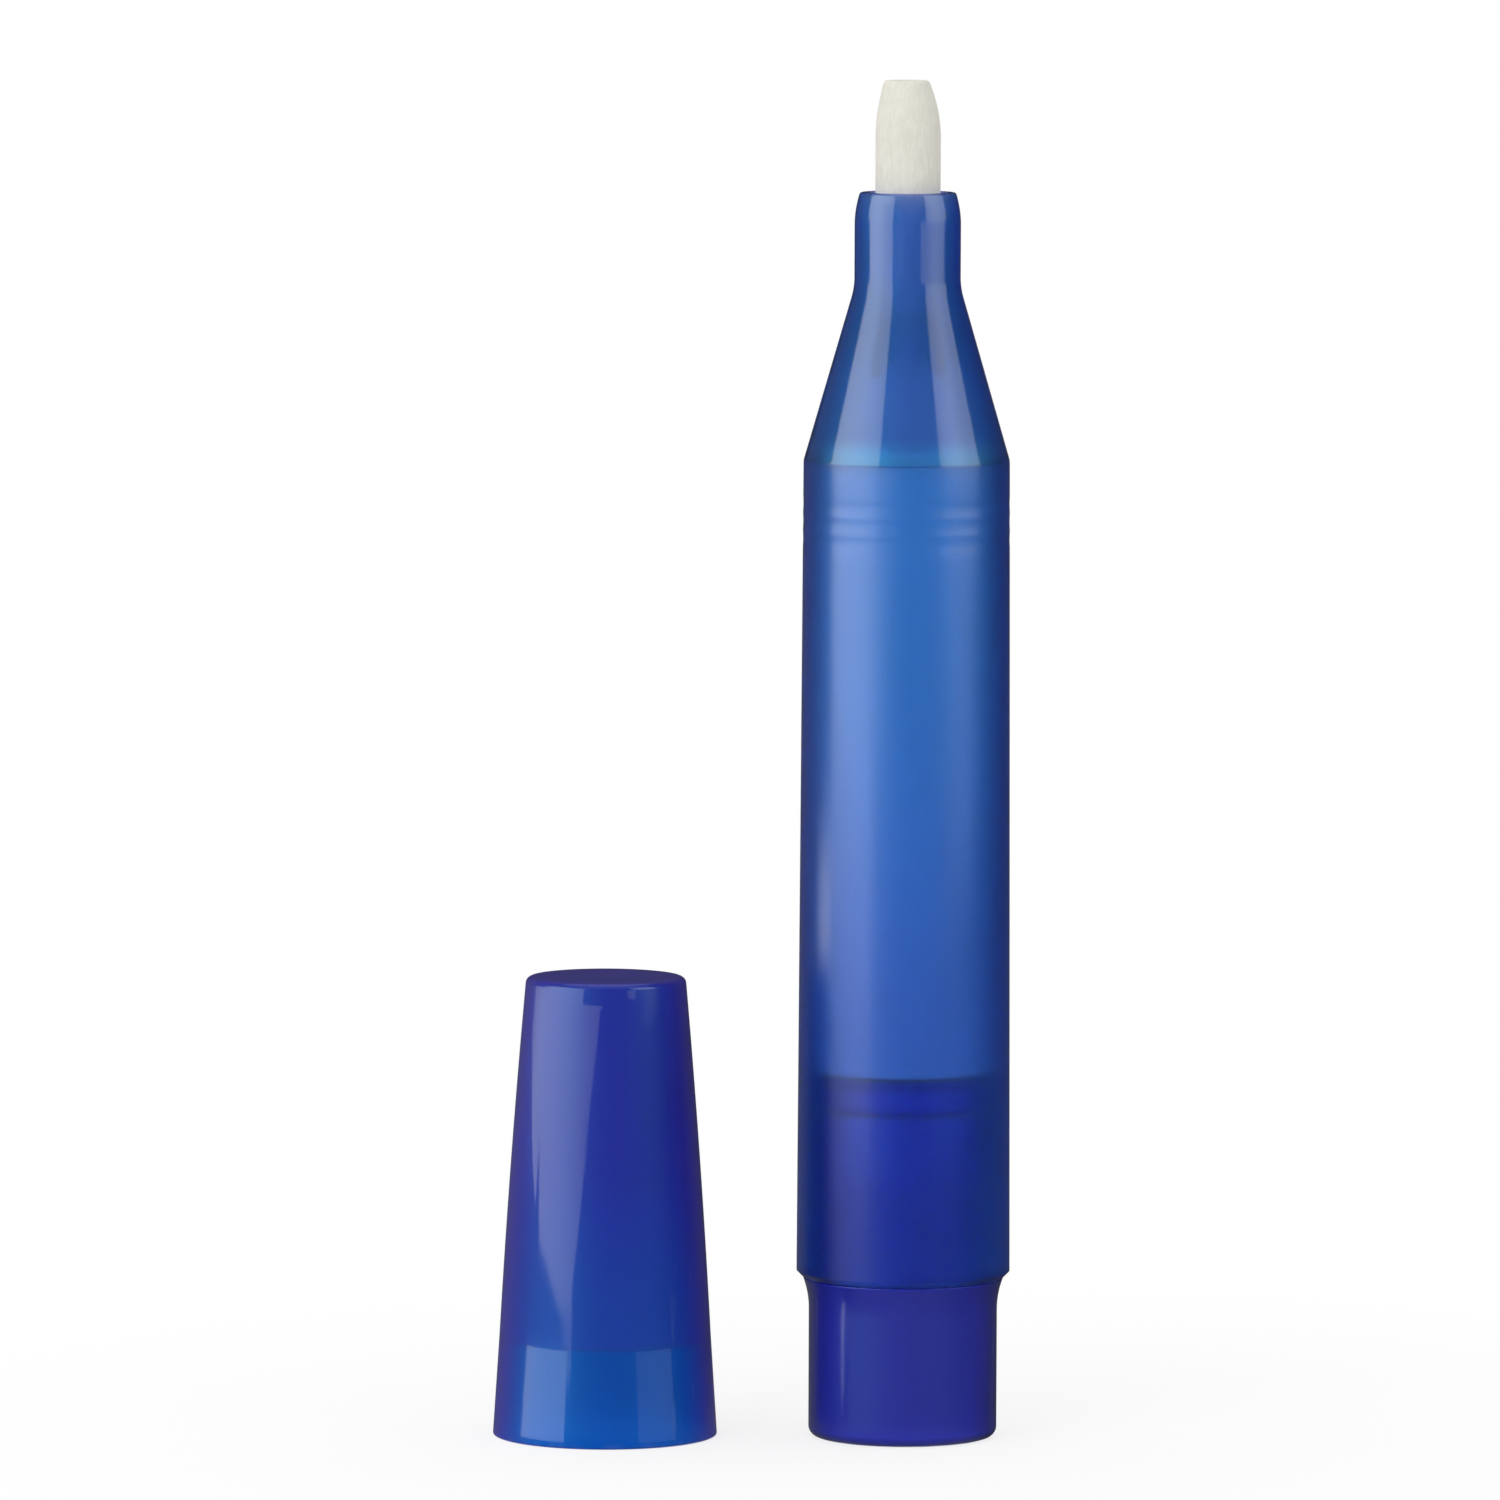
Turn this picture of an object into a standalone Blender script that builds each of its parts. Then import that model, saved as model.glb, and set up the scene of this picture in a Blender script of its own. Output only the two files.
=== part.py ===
"""Felt-tip cuticle softener pen, standing on its tail, with its cap standing beside it.

Every piece is its own object, in metres, with +Z up. The origin is the centre of the tail's foot,
on the pen's axis. The cap stands on its rim, off to the -X side.

The barrel is one translucent moulding: a lip, a drafted side with grip rings, a cone and a neck
whose fins hold the nib. A fibre wad in a film wrap fills it, and a wick joins the wad to the nib.
A stopper closes the wad's chamber. Below it, the hollow tail plug pushes up inside the barrel and
keeps the spare nibs. The cap has a thin skirt that goes over the barrel's shoulder, and fins that
hold an inner seal, which closes round the neck.
"""

import math

import bmesh
import bpy
from mathutils import Matrix

# Fits and mesh fineness, shared by every piece
SEAT_GAP = 0.0003
MERGE_DISTANCE = 0.000001
SHELL_SEGMENTS = 48
NIB_SEGMENTS = 24
CORNER_STEPS = 3
SIDE_STEPS = 6
SMOOTH_ANGLE = math.radians(28)

# Nibs: one in the neck, and the spare ones that set how wide the hollow tail has to be
NIB_RADIUS = 0.0026
NIB_LENGTH = 0.0190
NIB_SHOWN = 0.0089
NIB_TIP_RADIUS = 0.00177
NIB_TIP_LENGTH = 0.0046
NIB_TIP_ROUNDING = 0.00022
NIB_HEEL_CHAMFER = 0.0004
SPARE_NIB_COUNT = 3
SPARE_NIB_SPACING = 0.0005
SPARE_NIB_WALL_GAP = 0.0004
SPARE_NIB_HEADROOM = 0.0060

# Tail plug: a hollow foot below the ledge, and a spigot that goes up inside the barrel
TAIL_LEDGE_HEIGHT = 0.01265
TAIL_STEP_IN = 0.0010
TAIL_LEDGE_STEP_IN = 0.00052
TAIL_FLARE_LENGTH = 0.00235
TAIL_FOOT_ROUNDING = 0.0008
TAIL_FLOOR_THICKNESS = 0.0011
SPIGOT_WALL = 0.0009
SPIGOT_LEAD_IN = 0.0006
SPIGOT_BEAD_DROP = 0.0049
SPIGOT_BEAD_LENGTH = 0.0012
SPIGOT_BEAD_RISE = 0.00015
COMPARTMENT_ROUNDING = 0.0006

# Barrel: lip, drafted side with grip rings, cone and neck
BARREL_SIDE_LENGTH = 0.06555
BARREL_DRAFT = math.radians(0.28)
BARREL_WALL = 0.0010
LIP_CHAMFER = 0.00045
LIP_LEAD_IN = 0.0003
SHOULDER_ROUNDING = 0.0002
GRIP_RING_COUNT = 3
GRIP_RING_DROP = 0.00346
GRIP_RING_PITCH = 0.00142
GRIP_RING_WIDTH = 0.0006
GRIP_RING_DEPTH = 0.00007
CONE_LENGTH = 0.0138
NECK_LENGTH = 0.0076
NECK_WALL = 0.00095
NECK_BLEND_ROUNDING = 0.0045
NECK_CROWN_LENGTH = 0.0026
NECK_CROWN_DRAW = 0.00042
NECK_LIP_ROUNDING = 0.0003

# Fins inside the neck: they hold the nib, stop it, and steady the wick below it
NECK_FIN_COUNT = 6
NECK_FIN_THICKNESS = 0.0007
NECK_FIN_DEPTH = 0.00039
NECK_FIN_RECESS = 0.0008
NIB_STOP_WIDTH = 0.0005
WICK_HOLD_LENGTH = 0.0027
NECK_FIN_FOOT_RISE = 0.0018

# Wick, wad, film wrap and stopper inside the barrel
WICK_DIP = 0.0085
WICK_END_CHAMFER = 0.0003
FILM_THICKNESS = 0.0002
WAD_PROUD = 0.0011
WAD_END_ROUNDING = 0.0006
STOPPER_LENGTH = 0.0026
STOPPER_WEB = 0.0009
STOPPER_WALL = 0.0008
STOPPER_LIP_RISE = 0.0002
STOPPER_LIP_LENGTH = 0.0006

# Cap: a thin drafted skirt, a thicker bowed side above it, and fins that hold the inner seal
CAP_SPACING = 0.00632
CAP_OVERLAP = 0.0025
CAP_RIM_CLEARANCE = 0.00029
CAP_HEADROOM = 0.0022
CAP_SKIRT_DRAFT = math.radians(3.7)
CAP_SIDE_BOW = 0.000115
CAP_TOP_ROUNDING = 0.00055
CAP_RIM_ROUNDING = 0.00025
CAP_SKIRT_WALL = 0.0005
CAP_WALL = 0.0011
CAP_CROWN_THICKNESS = 0.0011
CAP_STEP_HEIGHT = 0.0080
CAP_STEP_RISE = 0.0003
CAP_FIN_COUNT = 6
CAP_FIN_THICKNESS = 0.0008
CAP_FIN_TOP_DEPTH = 0.0001
CAP_FIN_LIFT = 0.0052
CAP_FIN_FOOT_RISE = 0.0008
SEAL_CLEARANCE = 0.0002
SEAL_ENGAGEMENT = 0.0042
SEAL_WALL = 0.00055
SEAL_TOP_THICKNESS = 0.0006
SEAL_TOP_ROUNDING = 0.0003
SEAL_LEAD_IN = 0.0003

# Heights that follow, from the foot up
SPARE_NIB_HEEL = TAIL_FLOOR_THICKNESS + SEAT_GAP
SPIGOT_TOP = SPARE_NIB_HEEL + NIB_LENGTH + SPARE_NIB_HEADROOM
BARREL_LIP = TAIL_LEDGE_HEIGHT + SEAT_GAP
SHOULDER_HEIGHT = BARREL_LIP + BARREL_SIDE_LENGTH
NECK_START = SHOULDER_HEIGHT + CONE_LENGTH
NECK_TOP = NECK_START + NECK_LENGTH
NIB_TOP = NECK_TOP + NIB_SHOWN
NIB_HEEL = NIB_TOP - NIB_LENGTH
STOPPER_BASE = SPIGOT_TOP + SEAT_GAP
WAD_BASE = STOPPER_BASE + STOPPER_LENGTH + SEAT_GAP

# Radii that follow, from the axis out
NIB_HOLD_RADIUS = NIB_RADIUS + SEAT_GAP
WICK_RADIUS = NIB_RADIUS - NIB_STOP_WIDTH
WICK_HOLD_RADIUS = WICK_RADIUS + SEAT_GAP
NECK_BORE_RADIUS = NIB_HOLD_RADIUS + NECK_FIN_DEPTH
NECK_RADIUS = NECK_BORE_RADIUS + NECK_WALL
SPARE_NIB_HALF_PITCH = NIB_RADIUS + SPARE_NIB_SPACING / 2
SPARE_NIB_CIRCLE_RADIUS = SPARE_NIB_HALF_PITCH / math.sin(math.pi / SPARE_NIB_COUNT)
COMPARTMENT_RADIUS = SPARE_NIB_CIRCLE_RADIUS + NIB_RADIUS + SPARE_NIB_WALL_GAP
SPIGOT_RADIUS = COMPARTMENT_RADIUS + SPIGOT_WALL
BARREL_RADIUS_AT_SPIGOT = SPIGOT_RADIUS + SEAT_GAP + BARREL_WALL


def barrel_radius(height):
    """Outer radius of the barrel's drafted side."""
    return BARREL_RADIUS_AT_SPIGOT + (SPIGOT_TOP - height) * math.tan(BARREL_DRAFT)


def bore_radius(height):
    """Inner radius of the barrel behind its drafted side."""
    return barrel_radius(height) - BARREL_WALL


# The cone's wall keeps its thickness, so it is wider when measured across the axis
SHOULDER_RADIUS = barrel_radius(SHOULDER_HEIGHT)
CONE_SLOPE = (SHOULDER_RADIUS - NECK_RADIUS) / CONE_LENGTH
CONE_WALL_ACROSS = BARREL_WALL * math.hypot(1, CONE_SLOPE)
INNER_SHOULDER_RADIUS = SHOULDER_RADIUS - BARREL_WALL
INNER_SHOULDER_HEIGHT = SHOULDER_HEIGHT - (CONE_WALL_ACROSS - BARREL_WALL) / CONE_SLOPE
TAIL_RADIUS = barrel_radius(BARREL_LIP) - TAIL_STEP_IN
TAIL_LEDGE_RADIUS = barrel_radius(BARREL_LIP) - TAIL_LEDGE_STEP_IN
WAD_TOP = INNER_SHOULDER_HEIGHT + WAD_PROUD
FILM_RADIUS = INNER_SHOULDER_RADIUS - SEAT_GAP
WAD_RADIUS = FILM_RADIUS - FILM_THICKNESS - SEAT_GAP

# The cap is sized over the pen that it closes, in heights above its own rim
CLOSED_NECK_TOP = CAP_OVERLAP + CONE_LENGTH + NECK_LENGTH
SEAL_MOUTH = CLOSED_NECK_TOP - SEAL_ENGAGEMENT
SEAL_CEILING = CLOSED_NECK_TOP + NIB_SHOWN + CAP_HEADROOM
SEAL_TOP = SEAL_CEILING + SEAL_TOP_THICKNESS
CAP_CEILING = SEAL_TOP + SEAT_GAP
CAP_HEIGHT = CAP_CEILING + CAP_CROWN_THICKNESS
CAP_FIN_FOOT = SEAL_MOUTH + CAP_FIN_LIFT
SEAL_BORE_RADIUS = NECK_RADIUS + SEAL_CLEARANCE
SEAL_RADIUS = SEAL_BORE_RADIUS + SEAL_WALL
SEAL_HOLD_RADIUS = SEAL_RADIUS + SEAT_GAP
CAP_RIM_RADIUS = SHOULDER_RADIUS + CAP_RIM_CLEARANCE + CAP_SKIRT_WALL
CAP_STEP_RADIUS = CAP_RIM_RADIUS - CAP_STEP_HEIGHT * math.tan(CAP_SKIRT_DRAFT)
CAP_CEILING_RADIUS = SEAL_HOLD_RADIUS + CAP_FIN_TOP_DEPTH + CAP_WALL
CAP_STAND_OFF = barrel_radius(BARREL_LIP) + CAP_SPACING + CAP_RIM_RADIUS

# Finish of each material: linear colour, roughness, metallic value and transmission
FINISHES = {
    "barrel_blue": ((0.030, 0.130, 0.420), 0.22, 0.0, 0.45),
    "tail_blue": ((0.022, 0.035, 0.260), 0.22, 0.0, 0.30),
    "cap_blue": ((0.020, 0.038, 0.300), 0.18, 0.0, 0.35),
    "seal_clear": ((0.620, 0.700, 0.820), 0.35, 0.0, 0.40),
    "nib_felt": ((0.740, 0.720, 0.610), 0.90, 0.0, 0.0),
    "wick_fibre": ((0.780, 0.770, 0.720), 0.95, 0.0, 0.0),
    "wad_fibre": ((0.820, 0.820, 0.800), 0.95, 0.0, 0.0),
    "film_wrap": ((0.800, 0.830, 0.850), 0.30, 0.0, 0.20),
    "stopper_blue": ((0.022, 0.038, 0.270), 0.35, 0.0, 0.10),
}


def inner_cone_radius(height):
    """Inner radius of the barrel's cone."""
    return SHOULDER_RADIUS - CONE_WALL_ACROSS - CONE_SLOPE * (height - SHOULDER_HEIGHT)


def cap_radius(height):
    """Outer radius of the cap: a straight drafted skirt up to the step, then a bowed side."""
    if height <= CAP_STEP_HEIGHT:
        return CAP_RIM_RADIUS - height * math.tan(CAP_SKIRT_DRAFT)
    share = (height - CAP_STEP_HEIGHT) / (CAP_CEILING - CAP_STEP_HEIGHT)
    straight = CAP_STEP_RADIUS + (CAP_CEILING_RADIUS - CAP_STEP_RADIUS) * share
    return straight + 4 * CAP_SIDE_BOW * share * (1 - share)


def sampled(radius_at, first, last):
    """Points along a side, from one height to another, whose radius is a function of height."""
    heights = [first + (last - first) * step / SIDE_STEPS for step in range(SIDE_STEPS + 1)]
    return [(radius_at(height), height) for height in heights]


def eased(start, end):
    """Points on a parabola from start down to end, where it runs straight along the axis."""

    def radius_at(height):
        return end[0] + (start[0] - end[0]) * ((height - end[1]) / (start[1] - end[1])) ** 2

    return sampled(radius_at, start[1], end[1])


def rounded(before, corner, after, rounding):
    """Points of the arc that rounds a corner between two straight sides."""
    to_before = (before[0] - corner[0], before[1] - corner[1])
    to_after = (after[0] - corner[0], after[1] - corner[1])
    before_length = math.hypot(*to_before)
    after_length = math.hypot(*to_after)
    u = (to_before[0] / before_length, to_before[1] / before_length)
    v = (to_after[0] / after_length, to_after[1] / after_length)
    half_angle = math.acos(max(-1, min(1, u[0] * v[0] + u[1] * v[1]))) / 2
    reach = min(rounding / math.tan(half_angle), before_length / 2, after_length / 2)
    radius = reach * math.tan(half_angle)
    middle = (u[0] + v[0], u[1] + v[1])
    to_centre = radius / math.sin(half_angle) / math.hypot(*middle)
    centre = (corner[0] + middle[0] * to_centre, corner[1] + middle[1] * to_centre)
    first = math.atan2(corner[1] + u[1] * reach - centre[1], corner[0] + u[0] * reach - centre[0])
    last = math.atan2(corner[1] + v[1] * reach - centre[1], corner[0] + v[0] * reach - centre[0])
    turn = (last - first + math.pi) % math.tau - math.pi
    angles = [first + turn * step / CORNER_STEPS for step in range(CORNER_STEPS + 1)]
    return [(centre[0] + radius * math.cos(a), centre[1] + radius * math.sin(a)) for a in angles]


def outline(corners):
    """Profile points from corners of (radius, height), or (radius, height, rounding)."""
    points = []
    count = len(corners)
    for index, corner in enumerate(corners):
        if len(corner) == 2:
            points.append(corner)
            continue
        before = corners[index - 1]
        after = corners[(index + 1) % count]
        points.extend(rounded(before, corner, after, corner[2]))
    return points


def link_to(collection, name, mesh):
    """New object in a collection."""
    made = bpy.data.objects.new(name, mesh)
    collection.objects.link(made)
    return made


def evaluated_mesh(source):
    """Mesh of an object with its modifiers, as a mesh of its own."""
    graph = bpy.context.evaluated_depsgraph_get()
    return bpy.data.meshes.new_from_object(source.evaluated_get(graph), depsgraph=graph)


def turned(collection, name, profile, closed, segments=SHELL_SEGMENTS):
    """Solid of revolution about Z from a profile that runs down its outer side."""
    count = len(profile)
    edges = [(index, index + 1) for index in range(count - 1)]
    if closed:
        edges.append((count - 1, 0))
    mesh = bpy.data.meshes.new(name)
    mesh.from_pydata([(radius, 0, height) for radius, height in profile], edges, [])
    made = link_to(collection, name, mesh)
    screw = made.modifiers.new("turn", "SCREW")
    screw.axis = "Z"
    screw.angle = math.tau
    screw.steps = segments
    screw.render_steps = segments
    screw.use_merge_vertices = True
    screw.merge_threshold = MERGE_DISTANCE
    return made


def fin_ring(collection, name, corners, thickness, count):
    """Ring of flat fins, each an outline of (radius, height) with a thickness across it."""
    curve = bpy.data.curves.new(name, "CURVE")
    curve.dimensions = "2D"
    curve.fill_mode = "BOTH"
    curve.extrude = thickness / 2
    spline = curve.splines.new("POLY")
    spline.points.add(len(corners) - 1)
    for point, (radius, height) in zip(spline.points, corners):
        point.co = (radius, height, 0, 1)
    spline.use_cyclic_u = True
    flat = link_to(collection, name + "_outline", curve)
    bpy.context.view_layer.update()
    fin = evaluated_mesh(flat)
    bpy.data.objects.remove(flat)

    ring = bmesh.new()
    for index in range(count):
        stand = Matrix.Rotation(math.tau * index / count, 4, "Z") @ Matrix.Rotation(math.pi / 2, 4, "X")
        start = len(ring.verts)
        ring.from_mesh(fin)
        ring.verts.ensure_lookup_table()
        bmesh.ops.transform(ring, matrix=stand, verts=ring.verts[start:])
    bmesh.ops.remove_doubles(ring, verts=ring.verts, dist=MERGE_DISTANCE)
    bmesh.ops.recalc_face_normals(ring, faces=ring.faces)
    mesh = bpy.data.meshes.new(name)
    ring.to_mesh(mesh)
    ring.free()
    made = link_to(collection, name, mesh)
    made.hide_render = True
    made.display_type = "WIRE"
    return made


def add_fins(shell, fins):
    """Joins a ring of fins to the inside of a shell."""
    union = shell.modifiers.new("fins", "BOOLEAN")
    union.operation = "UNION"
    union.solver = "EXACT"
    union.object = fins


def finish_material(name):
    """Principled material of one finish."""
    colour, roughness, metallic, transmission = FINISHES[name]
    material = bpy.data.materials.get(name)
    if material:
        return material
    material = bpy.data.materials.new(name)
    material.use_nodes = True
    shader = material.node_tree.nodes["Principled BSDF"]
    shader.inputs["Base Color"].default_value = (*colour, 1)
    shader.inputs["Roughness"].default_value = roughness
    shader.inputs["Metallic"].default_value = metallic
    shader.inputs["Transmission Weight"].default_value = transmission
    material.diffuse_color = (*colour, 1)
    return material


def settle(made, finish, parent):
    """Keeps the shape that the modifiers give, shades it, colours it and parents it."""
    bpy.context.view_layer.update()
    mesh = evaluated_mesh(made)
    made.modifiers.clear()
    made.data = mesh
    mesh.name = made.name
    mesh.shade_smooth()
    mesh.set_sharp_from_angle(angle=SMOOTH_ANGLE)
    mesh.materials.clear()
    mesh.materials.append(finish_material(finish))
    made.parent = parent


def axis_empty(collection, name, location):
    """Empty on the axis that a group of pieces moves along."""
    empty = link_to(collection, name, None)
    empty.location = location
    return empty


def make_barrel(parts, cutters, parent):
    """Translucent shell: crowned neck, cone, drafted side with grip rings, and chamfered lip."""
    crown_foot = NECK_TOP - NECK_CROWN_LENGTH
    crown_radius = NECK_RADIUS - NECK_CROWN_DRAW
    crown = eased((crown_radius, NECK_TOP), (NECK_RADIUS, crown_foot))
    bore_cone_top = SHOULDER_HEIGHT + (
        SHOULDER_RADIUS - CONE_WALL_ACROSS - NECK_BORE_RADIUS) / CONE_SLOPE
    lip_bore = bore_radius(BARREL_LIP)

    corners = [(NECK_BORE_RADIUS, NECK_TOP)]
    corners.append((*crown[0], NECK_LIP_ROUNDING))
    corners.extend(crown[1:])
    corners.append((NECK_RADIUS, NECK_START, NECK_BLEND_ROUNDING))
    corners.append((SHOULDER_RADIUS, SHOULDER_HEIGHT, SHOULDER_ROUNDING))
    for ring in range(GRIP_RING_COUNT):
        middle = SHOULDER_HEIGHT - GRIP_RING_DROP - ring * GRIP_RING_PITCH
        for offset, depth in ((GRIP_RING_WIDTH / 2, 0), (0, GRIP_RING_DEPTH), (-GRIP_RING_WIDTH / 2, 0)):
            height = middle + offset
            corners.append((barrel_radius(height) - depth, height))
    lip_top = BARREL_LIP + LIP_CHAMFER
    corners.append((barrel_radius(lip_top), lip_top))
    corners.append((barrel_radius(lip_top) - LIP_CHAMFER, BARREL_LIP))
    corners.append((lip_bore + LIP_LEAD_IN, BARREL_LIP))
    corners.append((lip_bore, BARREL_LIP + LIP_LEAD_IN))
    corners.append((INNER_SHOULDER_RADIUS, INNER_SHOULDER_HEIGHT))
    corners.append((NECK_BORE_RADIUS, bore_cone_top))
    barrel = turned(parts, "barrel", outline(corners), closed=True)

    fin_top = NECK_TOP - NECK_FIN_RECESS
    nib_stop = NIB_HEEL - SEAT_GAP
    wick_hold_foot = nib_stop - WICK_HOLD_LENGTH
    fin_foot = wick_hold_foot - NECK_FIN_FOOT_RISE
    in_neck_wall = NECK_BORE_RADIUS + NECK_WALL / 2
    fin = [
        (NIB_HOLD_RADIUS, fin_top),
        (in_neck_wall, fin_top),
        (in_neck_wall, bore_cone_top),
        (inner_cone_radius(fin_foot) + BARREL_WALL / 2, fin_foot),
        (WICK_HOLD_RADIUS, wick_hold_foot),
        (WICK_HOLD_RADIUS, nib_stop),
        (NIB_HOLD_RADIUS, nib_stop),
    ]
    add_fins(barrel, fin_ring(cutters, "neck_fins", fin, NECK_FIN_THICKNESS, NECK_FIN_COUNT))
    settle(barrel, "barrel_blue", parent)


def nib_profile(heel):
    """Nib outline from its flat tip, down its bowed taper, to its chamfered heel."""
    top = heel + NIB_LENGTH
    side = eased((NIB_TIP_RADIUS, top), (NIB_RADIUS, top - NIB_TIP_LENGTH))
    corners = [(0, top), (*side[0], NIB_TIP_ROUNDING)]
    corners.extend(side[1:])
    corners.append((NIB_RADIUS, heel + NIB_HEEL_CHAMFER))
    corners.append((NIB_RADIUS - NIB_HEEL_CHAMFER, heel))
    corners.append((0, heel))
    return outline(corners)


def make_nib(parts, parent):
    """Felt nib in the neck."""
    nib = turned(parts, "nib", nib_profile(NIB_HEEL), closed=False, segments=NIB_SEGMENTS)
    settle(nib, "nib_felt", parent)


def make_spare_nibs(parts, parent):
    """Spare nibs that stand on the tail's floor, evenly round its axis."""
    for index in range(SPARE_NIB_COUNT):
        name = f"spare_nib_{index + 1}"
        nib = turned(parts, name, nib_profile(SPARE_NIB_HEEL), closed=False, segments=NIB_SEGMENTS)
        settle(nib, "nib_felt", parent)
        angle = math.tau * index / SPARE_NIB_COUNT
        nib.location = (
            SPARE_NIB_CIRCLE_RADIUS * math.cos(angle), SPARE_NIB_CIRCLE_RADIUS * math.sin(angle), 0)


def make_feed_wick(parts, parent):
    """Fibre rod from deep in the wad to just under the nib."""
    top = NIB_HEEL - SEAT_GAP
    foot = WAD_TOP - WICK_DIP
    corners = [
        (0, top),
        (WICK_RADIUS - WICK_END_CHAMFER, top),
        (WICK_RADIUS, top - WICK_END_CHAMFER),
        (WICK_RADIUS, foot + WICK_END_CHAMFER),
        (WICK_RADIUS - WICK_END_CHAMFER, foot),
        (0, foot),
    ]
    wick = turned(parts, "feed_wick", corners, closed=False, segments=NIB_SEGMENTS)
    settle(wick, "wick_fibre", parent)


def make_reservoir(parts, parent):
    """Fibre wad with the wick's socket in its top, and the film wrapped round it."""
    socket_foot = WAD_TOP - WICK_DIP - SEAT_GAP
    corners = [
        (0, socket_foot),
        (WICK_HOLD_RADIUS, socket_foot),
        (WICK_HOLD_RADIUS, WAD_TOP),
        (WAD_RADIUS, WAD_TOP, WAD_END_ROUNDING),
        (WAD_RADIUS, WAD_BASE),
        (0, WAD_BASE),
    ]
    core = turned(parts, "reservoir_core", outline(corners), closed=False)
    settle(core, "wad_fibre", parent)

    film_bore = FILM_RADIUS - FILM_THICKNESS
    corners = [
        (film_bore, INNER_SHOULDER_HEIGHT),
        (FILM_RADIUS, INNER_SHOULDER_HEIGHT),
        (FILM_RADIUS, WAD_BASE),
        (film_bore, WAD_BASE),
    ]
    film = turned(parts, "reservoir_film", corners, closed=True)
    settle(film, "film_wrap", parent)


def make_stopper(parts, parent):
    """Cup-shaped plug under the wad, open downwards, with a sealing lip at each end."""
    top = STOPPER_BASE + STOPPER_LENGTH
    lip = bore_radius(top) - SEAT_GAP
    body = lip - STOPPER_LIP_RISE
    hollow = body - STOPPER_WALL
    corners = [
        (0, top),
        (body, top),
        (lip, top - STOPPER_LIP_LENGTH / 2),
        (body, top - STOPPER_LIP_LENGTH),
        (body, STOPPER_BASE + STOPPER_LIP_LENGTH),
        (lip, STOPPER_BASE + STOPPER_LIP_LENGTH / 2),
        (body, STOPPER_BASE),
        (hollow, STOPPER_BASE),
        (hollow, top - STOPPER_WEB),
        (0, top - STOPPER_WEB),
    ]
    stopper = turned(parts, "reservoir_stopper", corners, closed=False)
    settle(stopper, "stopper_blue", parent)


def make_tail_plug(parts, parent):
    """Hollow tail: foot, side, concave flare to the ledge, and the spigot above it."""
    flare_start = TAIL_LEDGE_HEIGHT - TAIL_FLARE_LENGTH
    flare = eased((TAIL_LEDGE_RADIUS, TAIL_LEDGE_HEIGHT), (TAIL_RADIUS, flare_start))
    bead = SPIGOT_TOP - SPIGOT_BEAD_DROP
    corners = [
        (0, TAIL_FLOOR_THICKNESS),
        (COMPARTMENT_RADIUS, TAIL_FLOOR_THICKNESS, COMPARTMENT_ROUNDING),
        (COMPARTMENT_RADIUS, SPIGOT_TOP),
        (SPIGOT_RADIUS - SPIGOT_LEAD_IN / 2, SPIGOT_TOP),
        (SPIGOT_RADIUS, SPIGOT_TOP - SPIGOT_LEAD_IN),
        (SPIGOT_RADIUS, bead + SPIGOT_BEAD_LENGTH / 2),
        (SPIGOT_RADIUS + SPIGOT_BEAD_RISE, bead),
        (SPIGOT_RADIUS, bead - SPIGOT_BEAD_LENGTH / 2),
        (SPIGOT_RADIUS, TAIL_LEDGE_HEIGHT),
    ]
    corners.extend(flare)
    corners.append((TAIL_RADIUS, 0, TAIL_FOOT_ROUNDING))
    corners.append((0, 0))
    tail = turned(parts, "tail_plug", outline(corners), closed=False)
    settle(tail, "tail_blue", parent)


def make_cap_shell(parts, cutters, parent):
    """Tapered cap: flat crown, thicker bowed side down to the step, and thin drafted skirt."""
    skirt_top = CAP_STEP_HEIGHT - CAP_STEP_RISE
    side = sampled(cap_radius, CAP_HEIGHT, CAP_STEP_HEIGHT)
    inner_side = sampled(lambda height: cap_radius(height) - CAP_WALL, CAP_STEP_HEIGHT, CAP_CEILING)
    corners = [(0, CAP_HEIGHT)]
    corners.append((*side[0], CAP_TOP_ROUNDING))
    corners.extend(side[1:])
    corners.append((CAP_RIM_RADIUS, 0, CAP_RIM_ROUNDING))
    corners.append((CAP_RIM_RADIUS - CAP_SKIRT_WALL, 0))
    corners.append((cap_radius(skirt_top) - CAP_SKIRT_WALL, skirt_top))
    corners.extend(inner_side)
    corners.append((0, CAP_CEILING))
    cap = turned(parts, "cap_shell", outline(corners), closed=False)

    in_crown = CAP_CEILING + CAP_CROWN_THICKNESS / 2
    fin = [
        (SEAL_HOLD_RADIUS, in_crown),
        (CAP_CEILING_RADIUS - CAP_WALL / 2, in_crown),
        (cap_radius(CAP_FIN_FOOT) - CAP_WALL / 2, CAP_FIN_FOOT),
        (SEAL_HOLD_RADIUS, CAP_FIN_FOOT + CAP_FIN_FOOT_RISE),
    ]
    add_fins(cap, fin_ring(cutters, "cap_fins", fin, CAP_FIN_THICKNESS, CAP_FIN_COUNT))
    settle(cap, "cap_blue", parent)


def make_cap_inner_seal(parts, parent):
    """Inner cap, closed at the top, that slides over the neck."""
    corners = [
        (0, SEAL_TOP),
        (SEAL_RADIUS, SEAL_TOP, SEAL_TOP_ROUNDING),
        (SEAL_RADIUS, SEAL_MOUTH),
        (SEAL_BORE_RADIUS + SEAL_LEAD_IN, SEAL_MOUTH),
        (SEAL_BORE_RADIUS, SEAL_MOUTH + SEAL_LEAD_IN),
        (SEAL_BORE_RADIUS, SEAL_CEILING),
        (0, SEAL_CEILING),
    ]
    seal = turned(parts, "cap_inner_seal", outline(corners), closed=False)
    settle(seal, "seal_clear", parent)


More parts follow.
